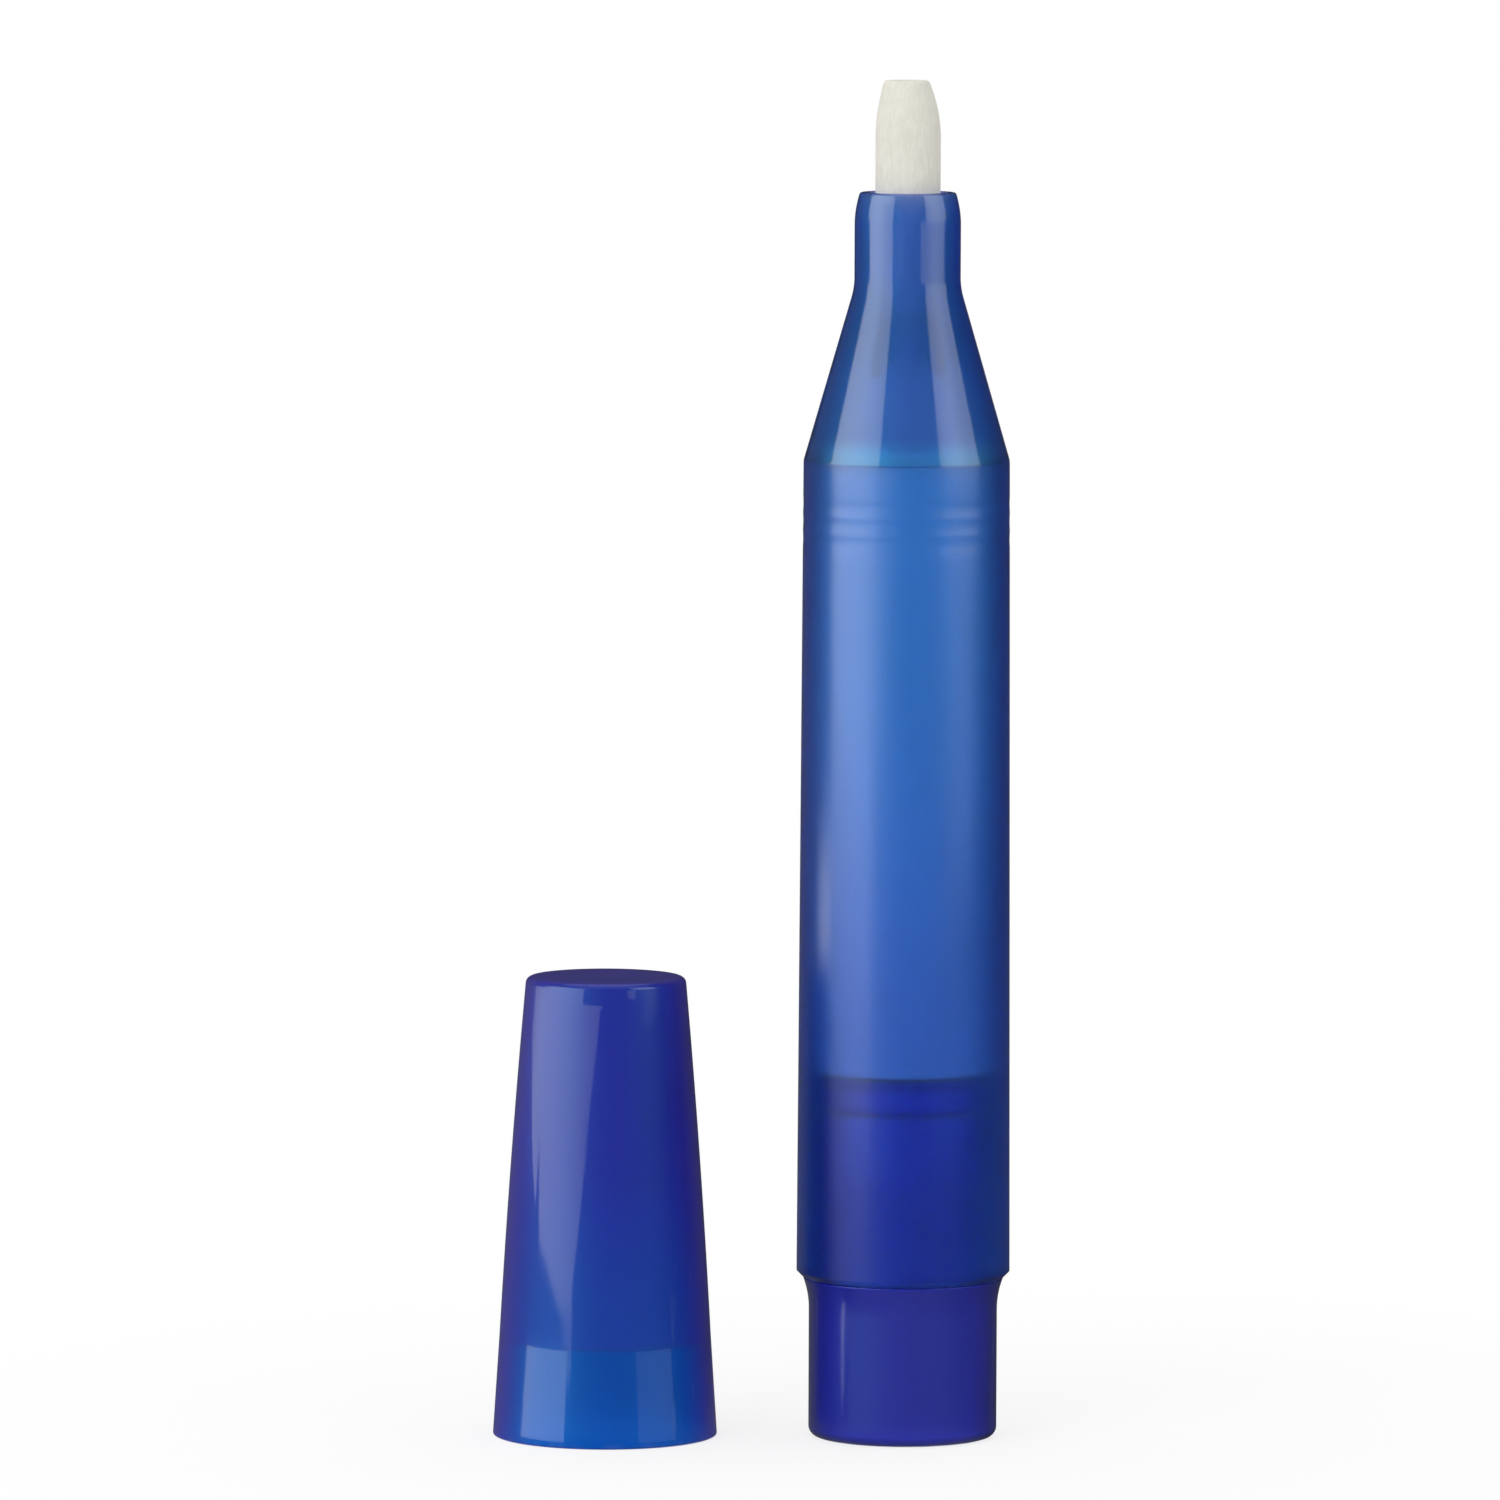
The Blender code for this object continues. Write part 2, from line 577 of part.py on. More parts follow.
def main():
    for old in list(bpy.data.objects):
        bpy.data.objects.remove(old)
    parts = bpy.data.collections.new("cuticle_softener_pen")
    cutters = bpy.data.collections.new("cutters")
    bpy.context.scene.collection.children.link(parts)
    bpy.context.scene.collection.children.link(cutters)

    tail_axis = axis_empty(parts, "tail_axis", (0, 0, 0))
    barrel_axis = axis_empty(parts, "barrel_axis", (0, 0, 0))
    nib_axis = axis_empty(parts, "nib_axis", (0, 0, 0))
    cap_axis = axis_empty(parts, "cap_axis", (-CAP_STAND_OFF, 0, 0))
    barrel_axis.parent = tail_axis
    nib_axis.parent = barrel_axis

    make_tail_plug(parts, tail_axis)
    make_spare_nibs(parts, tail_axis)
    make_barrel(parts, cutters, barrel_axis)
    make_reservoir(parts, barrel_axis)
    make_feed_wick(parts, barrel_axis)
    make_stopper(parts, barrel_axis)
    make_nib(parts, nib_axis)
    make_cap_shell(parts, cutters, cap_axis)
    make_cap_inner_seal(parts, cap_axis)


main()
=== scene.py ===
"""Looks of a felt-tip cuticle softener pen that stands open, with its cap standing beside it.

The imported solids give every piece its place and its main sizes. The moulded shells, the stopper,
the nibs, the wick, the wad and its film are made again here with finer edges, in plastic, felt,
fibre or film. Lengths are in metres, and heights are above the floor that both parts stand on.
"""

import math

import bmesh
import bpy
from mathutils import Matrix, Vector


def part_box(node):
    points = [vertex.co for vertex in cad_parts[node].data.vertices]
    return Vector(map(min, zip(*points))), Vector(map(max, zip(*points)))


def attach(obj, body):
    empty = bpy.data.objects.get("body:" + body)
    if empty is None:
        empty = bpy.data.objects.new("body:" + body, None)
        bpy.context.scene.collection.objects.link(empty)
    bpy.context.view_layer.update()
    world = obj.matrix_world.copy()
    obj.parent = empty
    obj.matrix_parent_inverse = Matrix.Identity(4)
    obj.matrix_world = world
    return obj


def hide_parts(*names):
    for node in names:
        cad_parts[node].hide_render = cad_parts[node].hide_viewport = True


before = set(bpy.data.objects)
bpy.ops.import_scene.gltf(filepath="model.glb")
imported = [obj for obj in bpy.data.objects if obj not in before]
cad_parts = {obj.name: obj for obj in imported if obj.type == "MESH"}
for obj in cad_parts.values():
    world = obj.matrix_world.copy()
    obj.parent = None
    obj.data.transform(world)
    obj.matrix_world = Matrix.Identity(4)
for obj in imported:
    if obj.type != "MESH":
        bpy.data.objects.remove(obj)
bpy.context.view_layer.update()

# Fineness of the turned pieces
SHELL_TURNS = 160
NIB_TURNS = 72
CORNER_STEPS = 6
FIN_CORNER_STEPS = 2
ROUND_PROFILE = 0.5
SIDE_STEPS = 14
MERGE_DISTANCE = 0.000001
SMOOTH_ANGLE = math.radians(30)

# Walls and fits that several pieces share
SEAT_GAP = 0.0003
FIN_ROUNDING = 0.00012
BARREL_WALL = 0.0010
BARREL_DRAFT = math.radians(0.28)

# Barrel, from the neck's lip down
CROWN_LENGTH = 0.0026
CROWN_DRAW = 0.00042
NECK_LIP_ROUNDING = 0.00025
NECK_RADIUS = 0.00424
NECK_BORE_RADIUS = 0.00329
NECK_LENGTH = 0.0076
NECK_BLEND_REACH = 0.0007
CONE_LENGTH = 0.0138
SHOULDER_ROUNDING = 0.00022
RING_COUNT = 3
RING_DROP = 0.00346
RING_PITCH = 0.00142
RING_WIDTH = 0.0006
RING_DEPTH = 0.000035
RING_BLEND_REACH = 0.00045
LIP_CHAMFER = 0.00045
LIP_LEAD_IN = 0.0003

# Fins inside the neck
NECK_FIN_COUNT = 6
NECK_FIN_THICKNESS = 0.0007
NECK_FIN_RECESS = 0.0008
NECK_FIN_FOOT_RISE = 0.0018
WICK_HOLD_LENGTH = 0.0027

# Nibs
NIB_TIP_RADIUS = 0.00177
NIB_TIP_LENGTH = 0.0046
NIB_TIP_ROUNDING = 0.0002
NIB_TIP_LEAN = 0.00014
NIB_HEEL_CHAMFER = 0.0004

# Tail plug
TAIL_STEP_IN = 0.0010
TAIL_LEDGE_STEP_IN = 0.00052
TAIL_LEDGE_GAP = 0.0001
TAIL_FLARE_LENGTH = 0.00255
TAIL_FOOT_ROUNDING = 0.0008
TAIL_LEDGE_ROUNDING = 0.00008
TAIL_FLOOR_THICKNESS = 0.0011
COMPARTMENT_RADIUS = 0.00629
COMPARTMENT_ROUNDING = 0.0006
SPIGOT_RADIUS = 0.00719
SPIGOT_LEAD_IN = 0.0006
SPIGOT_BEAD_DROP = 0.0049
SPIGOT_BEAD_LENGTH = 0.0012
SPIGOT_BEAD_RISE = 0.00015

# Wick, wad, film wrap and stopper
WICK_END_CHAMFER = 0.0003
FILM_THICKNESS = 0.0002
WAD_END_ROUNDING = 0.0006
STOPPER_WEB = 0.0009
STOPPER_WALL = 0.0008
STOPPER_LIP_RISE = 0.0002
STOPPER_LIP_LENGTH = 0.0006

# Cap and its inner seal
CAP_TOP_ROUNDING = 0.0005
CAP_RIM_ROUNDING = 0.00022
CAP_SKIRT_WALL = 0.0005
CAP_WALL = 0.0011
CAP_CROWN_THICKNESS = 0.0011
CAP_STEP_HEIGHT = 0.0080
CAP_STEP_RISE = 0.0003
CAP_SKIRT_DRAFT = math.radians(3.7)
CAP_CEILING_RADIUS = 0.00649
CAP_SIDE_BOW = 0.000115
CAP_FIN_COUNT = 6
CAP_FIN_THICKNESS = 0.0008
CAP_FIN_LIFT = 0.0052
CAP_FIN_FOOT_RISE = 0.0008
SEAL_WALL = 0.00055
SEAL_TOP_THICKNESS = 0.0006
SEAL_TOP_ROUNDING = 0.0003
SEAL_LEAD_IN = 0.0003

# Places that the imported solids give
BARREL_LOW, BARREL_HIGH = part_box("barrel")
NIB_LOW, NIB_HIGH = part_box("nib")
TAIL_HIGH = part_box("tail_plug")[1]
WICK_LOW, WICK_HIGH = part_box("feed_wick")
WAD_LOW, WAD_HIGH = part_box("reservoir_core")
FILM_LOW, FILM_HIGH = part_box("reservoir_film")
STOPPER_LOW, STOPPER_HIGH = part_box("reservoir_stopper")
CAP_LOW, CAP_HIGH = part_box("cap_shell")
SEAL_LOW, SEAL_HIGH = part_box("cap_inner_seal")

NECK_TOP = BARREL_HIGH.z
NECK_START = NECK_TOP - NECK_LENGTH
SHOULDER_HEIGHT = NECK_START - CONE_LENGTH
BARREL_LIP = BARREL_LOW.z
TAIL_LEDGE_HEIGHT = BARREL_LIP - TAIL_LEDGE_GAP
NIB_RADIUS = NIB_HIGH.x
WICK_RADIUS = WICK_HIGH.x
SPIGOT_TOP = TAIL_HIGH.z
CAP_CENTRE = ((CAP_LOW.x + CAP_HIGH.x) / 2, (CAP_LOW.y + CAP_HIGH.y) / 2)
CAP_RIM_RADIUS = (CAP_HIGH.x - CAP_LOW.x) / 2
CAP_HEIGHT = CAP_HIGH.z
CAP_CEILING = CAP_HEIGHT - CAP_CROWN_THICKNESS
SEAL_RADIUS = (SEAL_HIGH.x - SEAL_LOW.x) / 2


def barrel_radius(height):
    """Outer radius of the barrel's drafted side."""
    return SPIGOT_RADIUS + SEAT_GAP + BARREL_WALL + (SPIGOT_TOP - height) * math.tan(BARREL_DRAFT)


def bore_radius(height):
    """Inner radius of the barrel behind its drafted side."""
    return barrel_radius(height) - BARREL_WALL


SHOULDER_RADIUS = barrel_radius(SHOULDER_HEIGHT)
CONE_SLOPE = (SHOULDER_RADIUS - NECK_RADIUS) / CONE_LENGTH
CONE_WALL_ACROSS = BARREL_WALL * math.hypot(1, CONE_SLOPE)
INNER_SHOULDER_RADIUS = SHOULDER_RADIUS - BARREL_WALL
INNER_SHOULDER_HEIGHT = SHOULDER_HEIGHT - (CONE_WALL_ACROSS - BARREL_WALL) / CONE_SLOPE
TAIL_RADIUS = barrel_radius(BARREL_LIP) - TAIL_STEP_IN
TAIL_LEDGE_RADIUS = barrel_radius(BARREL_LIP) - TAIL_LEDGE_STEP_IN
CAP_STEP_RADIUS = CAP_RIM_RADIUS - CAP_STEP_HEIGHT * math.tan(CAP_SKIRT_DRAFT)

# Camera of the photograph: a long lens a little above the pen. Lens and sensor in millimetres
LENS = 288
SENSOR = 36
CAMERA_DISTANCE = 0.9563
CAMERA_SIDE = -0.01243
CAMERA_HEIGHT = 0.1389
CAMERA_PITCH = math.radians(5)
CAMERA_ROLL = math.radians(0.2)
CAMERA_REACH = 20

# Plastic, fibre and film
PLASTIC_IOR = 1.49
FIBRE_IOR = 1.45
FILM_IOR = 1.2
BARREL_ROUGHNESS = 0.42
SHOULDER_ROUGHNESS = 0.62
DEEP_ROUGHNESS = 0.36
# Facings between which a plastic turns to its painted edge shade, where the wall is seen edge on
EDGE_SHADE_REACH = (0.25, 0.75)
SATIN_DEPTH = 0.000002
FLOW_SHADE = 0.93
WEAR_SHARE = 0.25
WEAR_WHITENESS = 0.2
WEAR_ROUGHNESS = 0.12
WEAR_SHINE_LOSS = 0.6
FIBRE_SHARE = 0.6
FIBRE_ROUGHNESS_SPREAD = 0.08
FILM_SEAM_WIDTH = 0.0005
FILM_CREASE_DEPTH = 0.00003


# Shapes

def cone_bore(height):
    """Inner radius of the barrel's cone."""
    return SHOULDER_RADIUS - CONE_WALL_ACROSS - CONE_SLOPE * (height - SHOULDER_HEIGHT)


def cap_radius(height):
    """Outer radius of the cap: a straight skirt up to the step, then a bowed side."""
    if height <= CAP_STEP_HEIGHT:
        return CAP_RIM_RADIUS - height * math.tan(CAP_SKIRT_DRAFT)
    share = (height - CAP_STEP_HEIGHT) / (CAP_CEILING - CAP_STEP_HEIGHT)
    straight = CAP_STEP_RADIUS + (CAP_CEILING_RADIUS - CAP_STEP_RADIUS) * share
    return straight + 4 * CAP_SIDE_BOW * share * (1 - share)


def sampled(radius_at, first, last, steps=SIDE_STEPS):
    """Points along a side, from one height to another, whose radius is a function of height."""
    heights = [first + (last - first) * step / steps for step in range(steps + 1)]
    return [(radius_at(height), height) for height in heights]


def eased(start, end):
    """Points on a parabola from start down to end, where it runs straight along the axis."""

    def radius_at(height):
        return end[0] + (start[0] - end[0]) * ((height - end[1]) / (start[1] - end[1])) ** 2

    return sampled(radius_at, start[1], end[1])


def turned(profile, closed, turns=SHELL_TURNS, centre=(0, 0)):
    """Mesh spun from (radius, height) points; a third value is how far that corner is rounded."""
    made = bmesh.new()
    verts = [made.verts.new((point[0], 0, point[1])) for point in profile]
    for first, second in zip(verts, verts[1:]):
        made.edges.new((first, second))
    if closed:
        made.edges.new((verts[-1], verts[0]))
    for vert, point in zip(verts, profile):
        if len(point) == 3:
            bmesh.ops.bevel(made, geom=[vert], offset=point[2], offset_type="OFFSET",
                            segments=CORNER_STEPS, profile=ROUND_PROFILE,
                            affect="VERTICES", material=-1)
    bmesh.ops.spin(made, geom=made.verts[:] + made.edges[:], cent=(0, 0, 0), axis=(0, 0, 1),
                   angle=math.tau, steps=turns, use_merge=True)
    bmesh.ops.remove_doubles(made, verts=made.verts, dist=MERGE_DISTANCE)
    bmesh.ops.recalc_face_normals(made, faces=made.faces)
    bmesh.ops.translate(made, verts=made.verts, vec=(*centre, 0))
    return made


def fin_ring(edge_shade, thickness, rounding, count, centre=(0, 0)):
    """Ring of flat fins, each a plate of (radius, height) corners that points at the axis."""
    made = bmesh.new()
    verts = [made.verts.new((radius, -thickness / 2, height)) for radius, height in edge_shade]
    plate = made.faces.new(verts)
    grown = bmesh.ops.extrude_face_region(made, geom=[plate])
    far = [item for item in grown["geom"] if isinstance(item, bmesh.types.BMVert)]
    bmesh.ops.translate(made, verts=far, vec=(0, thickness, 0))
    inner = min(radius for radius, height in edge_shade)
    nose = [edge for edge in made.edges
            if max(vert.co.x for vert in edge.verts) < inner + thickness
            and abs(edge.verts[0].co.z - edge.verts[1].co.z) > thickness]
    bmesh.ops.bevel(made, geom=nose, offset=rounding, offset_type="OFFSET",
                    segments=FIN_CORNER_STEPS, profile=ROUND_PROFILE,
                    affect="EDGES", material=-1)
    bmesh.ops.recalc_face_normals(made, faces=made.faces)
    bmesh.ops.spin(made, geom=made.verts[:] + made.edges[:] + made.faces[:], cent=(0, 0, 0),
                   axis=(0, 0, 1), angle=math.tau * (count - 1) / count, steps=count - 1,
                   use_duplicate=True)
    bmesh.ops.translate(made, verts=made.verts, vec=(*centre, 0))
    return made


def smooth_shade(mesh):
    """Shades a mesh smooth, but for its real corners."""
    mesh.shade_smooth()
    mesh.set_sharp_from_angle(angle=SMOOTH_ANGLE)


def piece_of(name, made):
    """Object that shows a finished mesh."""
    mesh = bpy.data.meshes.new(name)
    made.to_mesh(mesh)
    made.free()
    smooth_shade(mesh)
    piece = bpy.data.objects.new(name, mesh)
    bpy.context.scene.collection.objects.link(piece)
    return piece


def join_fins(shell, fins):
    """Joins a ring of fins to the inside of a shell, as one closed surface."""
    union = shell.modifiers.new("fins", "BOOLEAN")
    union.operation = "UNION"
    union.solver = "EXACT"
    union.object = fins
    bpy.context.view_layer.update()
    graph = bpy.context.evaluated_depsgraph_get()
    mesh = bpy.data.meshes.new_from_object(shell.evaluated_get(graph), depsgraph=graph)
    shell.modifiers.clear()
    shell.data = mesh
    mesh.name = shell.name
    smooth_shade(mesh)
    bpy.data.objects.remove(fins)


def finish(piece, material, body, slot, *nodes):
    """Gives a piece its material, the body that it moves with and the solids that it stands for."""
    piece.data.materials.clear()
    piece.data.materials.append(material)
    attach(piece, body)
    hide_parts(*nodes)


# Node trees

def add(tree, kind, **settings):
    """New node with its settings."""
    made = tree.nodes.new(kind)
    for name, value in settings.items():
        setattr(made, name, value)
    return made


def feed(tree, socket, source):
    """Sets a socket to a value, or links it to another node's output."""
    if isinstance(source, bpy.types.NodeSocket):
        tree.links.new(source, socket)
    else:
        socket.default_value = source


def math_node(tree, operation, *sources):
    """Output of a Math node."""
    made = add(tree, "ShaderNodeMath", operation=operation)
    for socket, source in zip(made.inputs, sources):
        feed(tree, socket, source)
    return made.outputs[0]


def object_place(tree):
    """Place on the piece in its own coordinates."""
    return add(tree, "ShaderNodeTexCoord").outputs["Object"]


def parts_of(tree, vector):
    """Outputs X, Y and Z of a vector."""
    made = add(tree, "ShaderNodeSeparateXYZ")
    feed(tree, made.inputs[0], vector)
    return made.outputs


def noise(tree, vector, scale, detail):
    """Noise between 0 and 1 on a vector."""
    made = add(tree, "ShaderNodeTexNoise")
    feed(tree, made.inputs["Vector"], vector)
    feed(tree, made.inputs["Scale"], scale)
    feed(tree, made.inputs["Detail"], detail)
    return made.outputs["Fac"]


def stretched(tree, vector, along, angle=0):
    """Vector whose Z is scaled, so that a pattern on it is drawn out along Z when below 1."""
    scale = add(tree, "ShaderNodeCombineXYZ")
    feed(tree, scale.inputs["X"], 1)
    feed(tree, scale.inputs["Y"], 1)
    feed(tree, scale.inputs["Z"], along)
    made = add(tree, "ShaderNodeMapping")
    feed(tree, made.inputs["Vector"], vector)
    feed(tree, made.inputs["Scale"], scale.outputs["Vector"])
    made.inputs["Rotation"].default_value = (angle, angle / 2, 0)
    return made.outputs["Vector"]


def ramped(tree, value, low, high, to_low=0, to_high=1):
    """Value mapped smoothly from one range to another."""
    made = add(tree, "ShaderNodeMapRange", interpolation_type="SMOOTHSTEP")
    for name, source in (("Value", value), ("From Min", low), ("From Max", high),
                         ("To Min", to_low), ("To Max", to_high)):
        feed(tree, made.inputs[name], source)
    return made.outputs["Result"]


def blended(tree, share, first, second, way="MIX"):
    """Colour between two colours."""
    made = add(tree, "ShaderNodeMix", data_type="RGBA", blend_type=way)
    feed(tree, made.inputs["Factor"], share)
    feed(tree, made.inputs[6], first)
    feed(tree, made.inputs[7], second)
    return made.outputs[2]


def new_group(name, inputs, outputs):
    """Shader node group of float sockets: its tree, the inputs to read and the outputs to feed."""
    tree = bpy.data.node_groups.new(name, "ShaderNodeTree")
    for label, value in inputs:
        socket = tree.interface.new_socket(label, in_out="INPUT", socket_type="NodeSocketFloat")
        socket.default_value = value
    for label in outputs:
        tree.interface.new_socket(label, in_out="OUTPUT", socket_type="NodeSocketFloat")
    return tree, add(tree, "NodeGroupInput").outputs, add(tree, "NodeGroupOutput").inputs


def moulded_surface_group():
    """Injection-moulded skin: slow flow marks, and a fine satin grain in roughness and height."""
    tree, given, result = new_group(
        "moulded_surface",
        (("Flow Scale", 90), ("Flow Stretch", 0.3), ("Grain Scale", 4200), ("Roughness", 0.3),
         ("Roughness Spread", 0.06)),
        ("Tone", "Roughness", "Height"))
    place = object_place(tree)
    flow = noise(tree, stretched(tree, place, given["Flow Stretch"]), given["Flow Scale"], detail=3)
    grain = noise(tree, place, given["Grain Scale"], detail=2)
    uneven = math_node(tree, "SUBTRACT", math_node(tree, "ADD", flow, grain), 1)
    feed(tree, result["Tone"], ramped(tree, flow, low=0.3, high=0.7))
    feed(tree, result["Roughness"], math_node(
        tree, "MULTIPLY_ADD", uneven, given["Roughness Spread"], given["Roughness"]))
    feed(tree, result["Height"], grain)
    return tree


def handling_wear_group():
    """Wear from use: hairline scratches, and a rubbed band at one edge of the piece."""
    tree, given, result = new_group(
        "handling_wear",
        (("Scratch Scale", 900), ("Edge Height", 0), ("Edge Reach", 0.0006)),
        ("Scratches", "Rubbed"))
    place = object_place(tree)
    lengthwise = stretched(tree, place, along=0.035, angle=math.radians(18))
    hairs = ramped(tree, noise(tree, lengthwise, given["Scratch Scale"], detail=1),
                   low=0.665, high=0.72)
    patches = ramped(tree, noise(tree, place, scale=120, detail=2), low=0.48, high=0.66)
    feed(tree, result["Scratches"], math_node(tree, "MULTIPLY", hairs, patches))
    away = math_node(tree, "ABSOLUTE", math_node(
        tree, "SUBTRACT", parts_of(tree, place)["Z"], given["Edge Height"]))
    near = ramped(tree, away, 0, given["Edge Reach"], to_low=1, to_high=0)
    worn = ramped(tree, noise(tree, place, scale=700, detail=3), low=0.4, high=0.7)
    feed(tree, result["Rubbed"], math_node(tree, "MULTIPLY", near, worn))
    return tree


def bonded_fibre_group():
    """Fibres that run up and down the piece, bonded side by side."""
    tree, given, result = new_group(
        "bonded_fibre",
        (("Fibre Scale", 6000), ("Stretch", 0.06), ("Clump Scale", 1100)),
        ("Tone", "Height"))
    place = object_place(tree)
    drawn = stretched(tree, place, given["Stretch"])
    fibres = noise(tree, drawn, given["Fibre Scale"], detail=2)
    clumps = noise(tree, place, given["Clump Scale"], detail=3)
    both = math_node(tree, "ADD", math_node(tree, "MULTIPLY", fibres, FIBRE_SHARE),
                     math_node(tree, "MULTIPLY", clumps, 1 - FIBRE_SHARE))
    feed(tree, result["Tone"], ramped(tree, both, low=0.35, high=0.65))
    feed(tree, result["Height"], both)
    return tree


MOULDED_SURFACE = moulded_surface_group()
HANDLING_WEAR = handling_wear_group()
BONDED_FIBRE = bonded_fibre_group()


def use_group(tree, group, **values):
    """Places a node group in a material with its own values."""
    made = add(tree, "ShaderNodeGroup", node_tree=group)
    for name, value in values.items():
        made.inputs[name.replace("_", " ").title()].default_value = value
    return made.outputs


def new_material(name, **sockets):
    """Material with the constant values of its Principled shader."""
    material = bpy.data.materials.new(name)
    material.use_nodes = True
    tree = material.node_tree
    shader = tree.nodes["Principled BSDF"]
    for label, value in sockets.items():
        shader.inputs[label.replace("_", " ")].default_value = value
    return material, tree, shader


def bumped(tree, shader, height, depth):
    """Feeds a height to the shader's normal, with the depth in metres that it stands for."""
    bump = add(tree, "ShaderNodeBump")
    bump.inputs["Distance"].default_value = depth
    feed(tree, bump.inputs["Height"], height)
    feed(tree, shader.inputs["Normal"], bump.outputs["Normal"])


def tinted_plastic(name, zones, edge_shade, absorbed, density, gloss, clear, edge_height,
                   shine=1.0, haze=(0.05, 0.45, 0.6)):
    """Translucent plastic: a satin body in a glossier skin, with a tint that changes up the piece.

    zones go up the piece. Each has the two heights between which it takes over, its tint and its
    roughness; on the barrel, the tail and the cap these tints paint light and shade. edge_shade is
    the tint where the wall is seen edge on, a painted shade along the outline. absorbed and density
    colour what comes through the wall, and clear is the share that does. gloss is the roughness of
    the skin and shine its strength. edge_height is where the rubbed edge is, and haze tints the
    soft glow of the lights under the skin.
    """
    material, tree, shader = new_material(
        name, IOR=PLASTIC_IOR, Transmission_Weight=clear, Coat_Roughness=gloss,
        Coat_IOR=PLASTIC_IOR, Specular_Tint=(*haze, 1))
    height = parts_of(tree, object_place(tree))["Z"]
    tint = (*zones[0][1], 1)
    blur = zones[0][2]
    for change, zone_tint, zone_roughness in zones[1:]:
        above = ramped(tree, height, *change)
        tint = blended(tree, above, tint, (*zone_tint, 1))
        blur = ramped(tree, above, 0, 1, blur, zone_roughness)
    # Painted edge shade: the tint goes over to the edge tint where the wall is seen edge on
    edge_on = ramped(tree, add(tree, "ShaderNodeLayerWeight").outputs["Facing"], *EDGE_SHADE_REACH)
    tint = blended(tree, edge_on, tint, (*edge_shade, 1))
    skin = use_group(tree, MOULDED_SURFACE, roughness=0)
    wear = use_group(tree, HANDLING_WEAR, edge_height=edge_height)
    marks = math_node(tree, "MAXIMUM", wear["Scratches"], wear["Rubbed"])
    body = blended(tree, skin["Tone"], tint, (FLOW_SHADE, FLOW_SHADE, FLOW_SHADE, 1), "MULTIPLY")
    worn = blended(tree, WEAR_WHITENESS, tint, (1, 1, 1, 1))
    feed(tree, shader.inputs["Base Color"], blended(
        tree, math_node(tree, "MULTIPLY", marks, WEAR_SHARE), body, worn))
    rough_marks = math_node(tree, "MULTIPLY_ADD", marks, WEAR_ROUGHNESS, skin["Roughness"])
    feed(tree, shader.inputs["Roughness"], math_node(tree, "ADD", rough_marks, blur))
    feed(tree, shader.inputs["Coat Weight"], math_node(
        tree, "MULTIPLY_ADD", marks, -WEAR_SHINE_LOSS * shine, shine))
    bumped(tree, shader, skin["Height"], SATIN_DEPTH)
    volume = add(tree, "ShaderNodeVolumeAbsorption")
    volume.inputs["Color"].default_value = (*absorbed, 1)
    volume.inputs["Density"].default_value = density
    tree.links.new(volume.outputs["Volume"], tree.nodes["Material Output"].inputs["Volume"])
    return material


def fibre_material(name, colour, shade, roughness, depth, **grain):
    """Matt bonded fibre, between its colour on the fibres and its shade between them."""
    material, tree, shader = new_material(name, IOR=FIBRE_IOR)
    fibres = use_group(tree, BONDED_FIBRE, **grain)
    feed(tree, shader.inputs["Base Color"],
         blended(tree, fibres["Tone"], (*shade, 1), (*colour, 1)))
    feed(tree, shader.inputs["Roughness"], math_node(
        tree, "MULTIPLY_ADD", fibres["Tone"], -FIBRE_ROUGHNESS_SPREAD, roughness))
    bumped(tree, shader, fibres["Height"], depth)
    return material


def film_material(name):
    """Thin milky film wrap, with a lengthwise seam where its edges overlap."""
    material, tree, shader = new_material(name, IOR=FILM_IOR)
    skin = use_group(tree, MOULDED_SURFACE, roughness=0.38, flow_scale=260, flow_stretch=0.15)
    parts = parts_of(tree, object_place(tree))
    away = math_node(tree, "ABSOLUTE", parts["X"])
    near = ramped(tree, away, 0, FILM_SEAM_WIDTH, to_low=1, to_high=0)
    behind = math_node(tree, "GREATER_THAN", parts["Y"], 0)
    seam = math_node(tree, "MULTIPLY", near, behind)
    feed(tree, shader.inputs["Base Color"], blended(
        tree, skin["Tone"], (0.80, 0.82, 0.84, 1), (0.86, 0.88, 0.90, 1)))
    feed(tree, shader.inputs["Roughness"], skin["Roughness"])
    bumped(tree, shader, math_node(tree, "ADD", skin["Tone"], seam), FILM_CREASE_DEPTH)
    return material


# Heights between which one zone of a plastic takes over from the zone below it; on the barrel, the
# tail and the cap the zones' tints paint light and shade
WAD_FOOT_CHANGE = (WAD_LOW.z - 0.0004, WAD_LOW.z + 0.0002)
WAD_MIDDLE_CHANGE = (WAD_LOW.z, WAD_LOW.z + 0.75 * (WAD_HIGH.z - WAD_LOW.z))
WAD_TOP_CHANGE = (WAD_HIGH.z - 0.0003, WAD_HIGH.z + 0.0015)
TAIL_LEDGE_CHANGE = (TAIL_LEDGE_HEIGHT - 0.0005, TAIL_LEDGE_HEIGHT + 0.0005)
CAP_STEP_CHANGE = (CAP_STEP_HEIGHT - 0.0004, CAP_STEP_HEIGHT + 0.0001)
CAP_SIDE_CHANGE = (CAP_STEP_HEIGHT + 0.0010, CAP_STEP_HEIGHT + 0.0160)

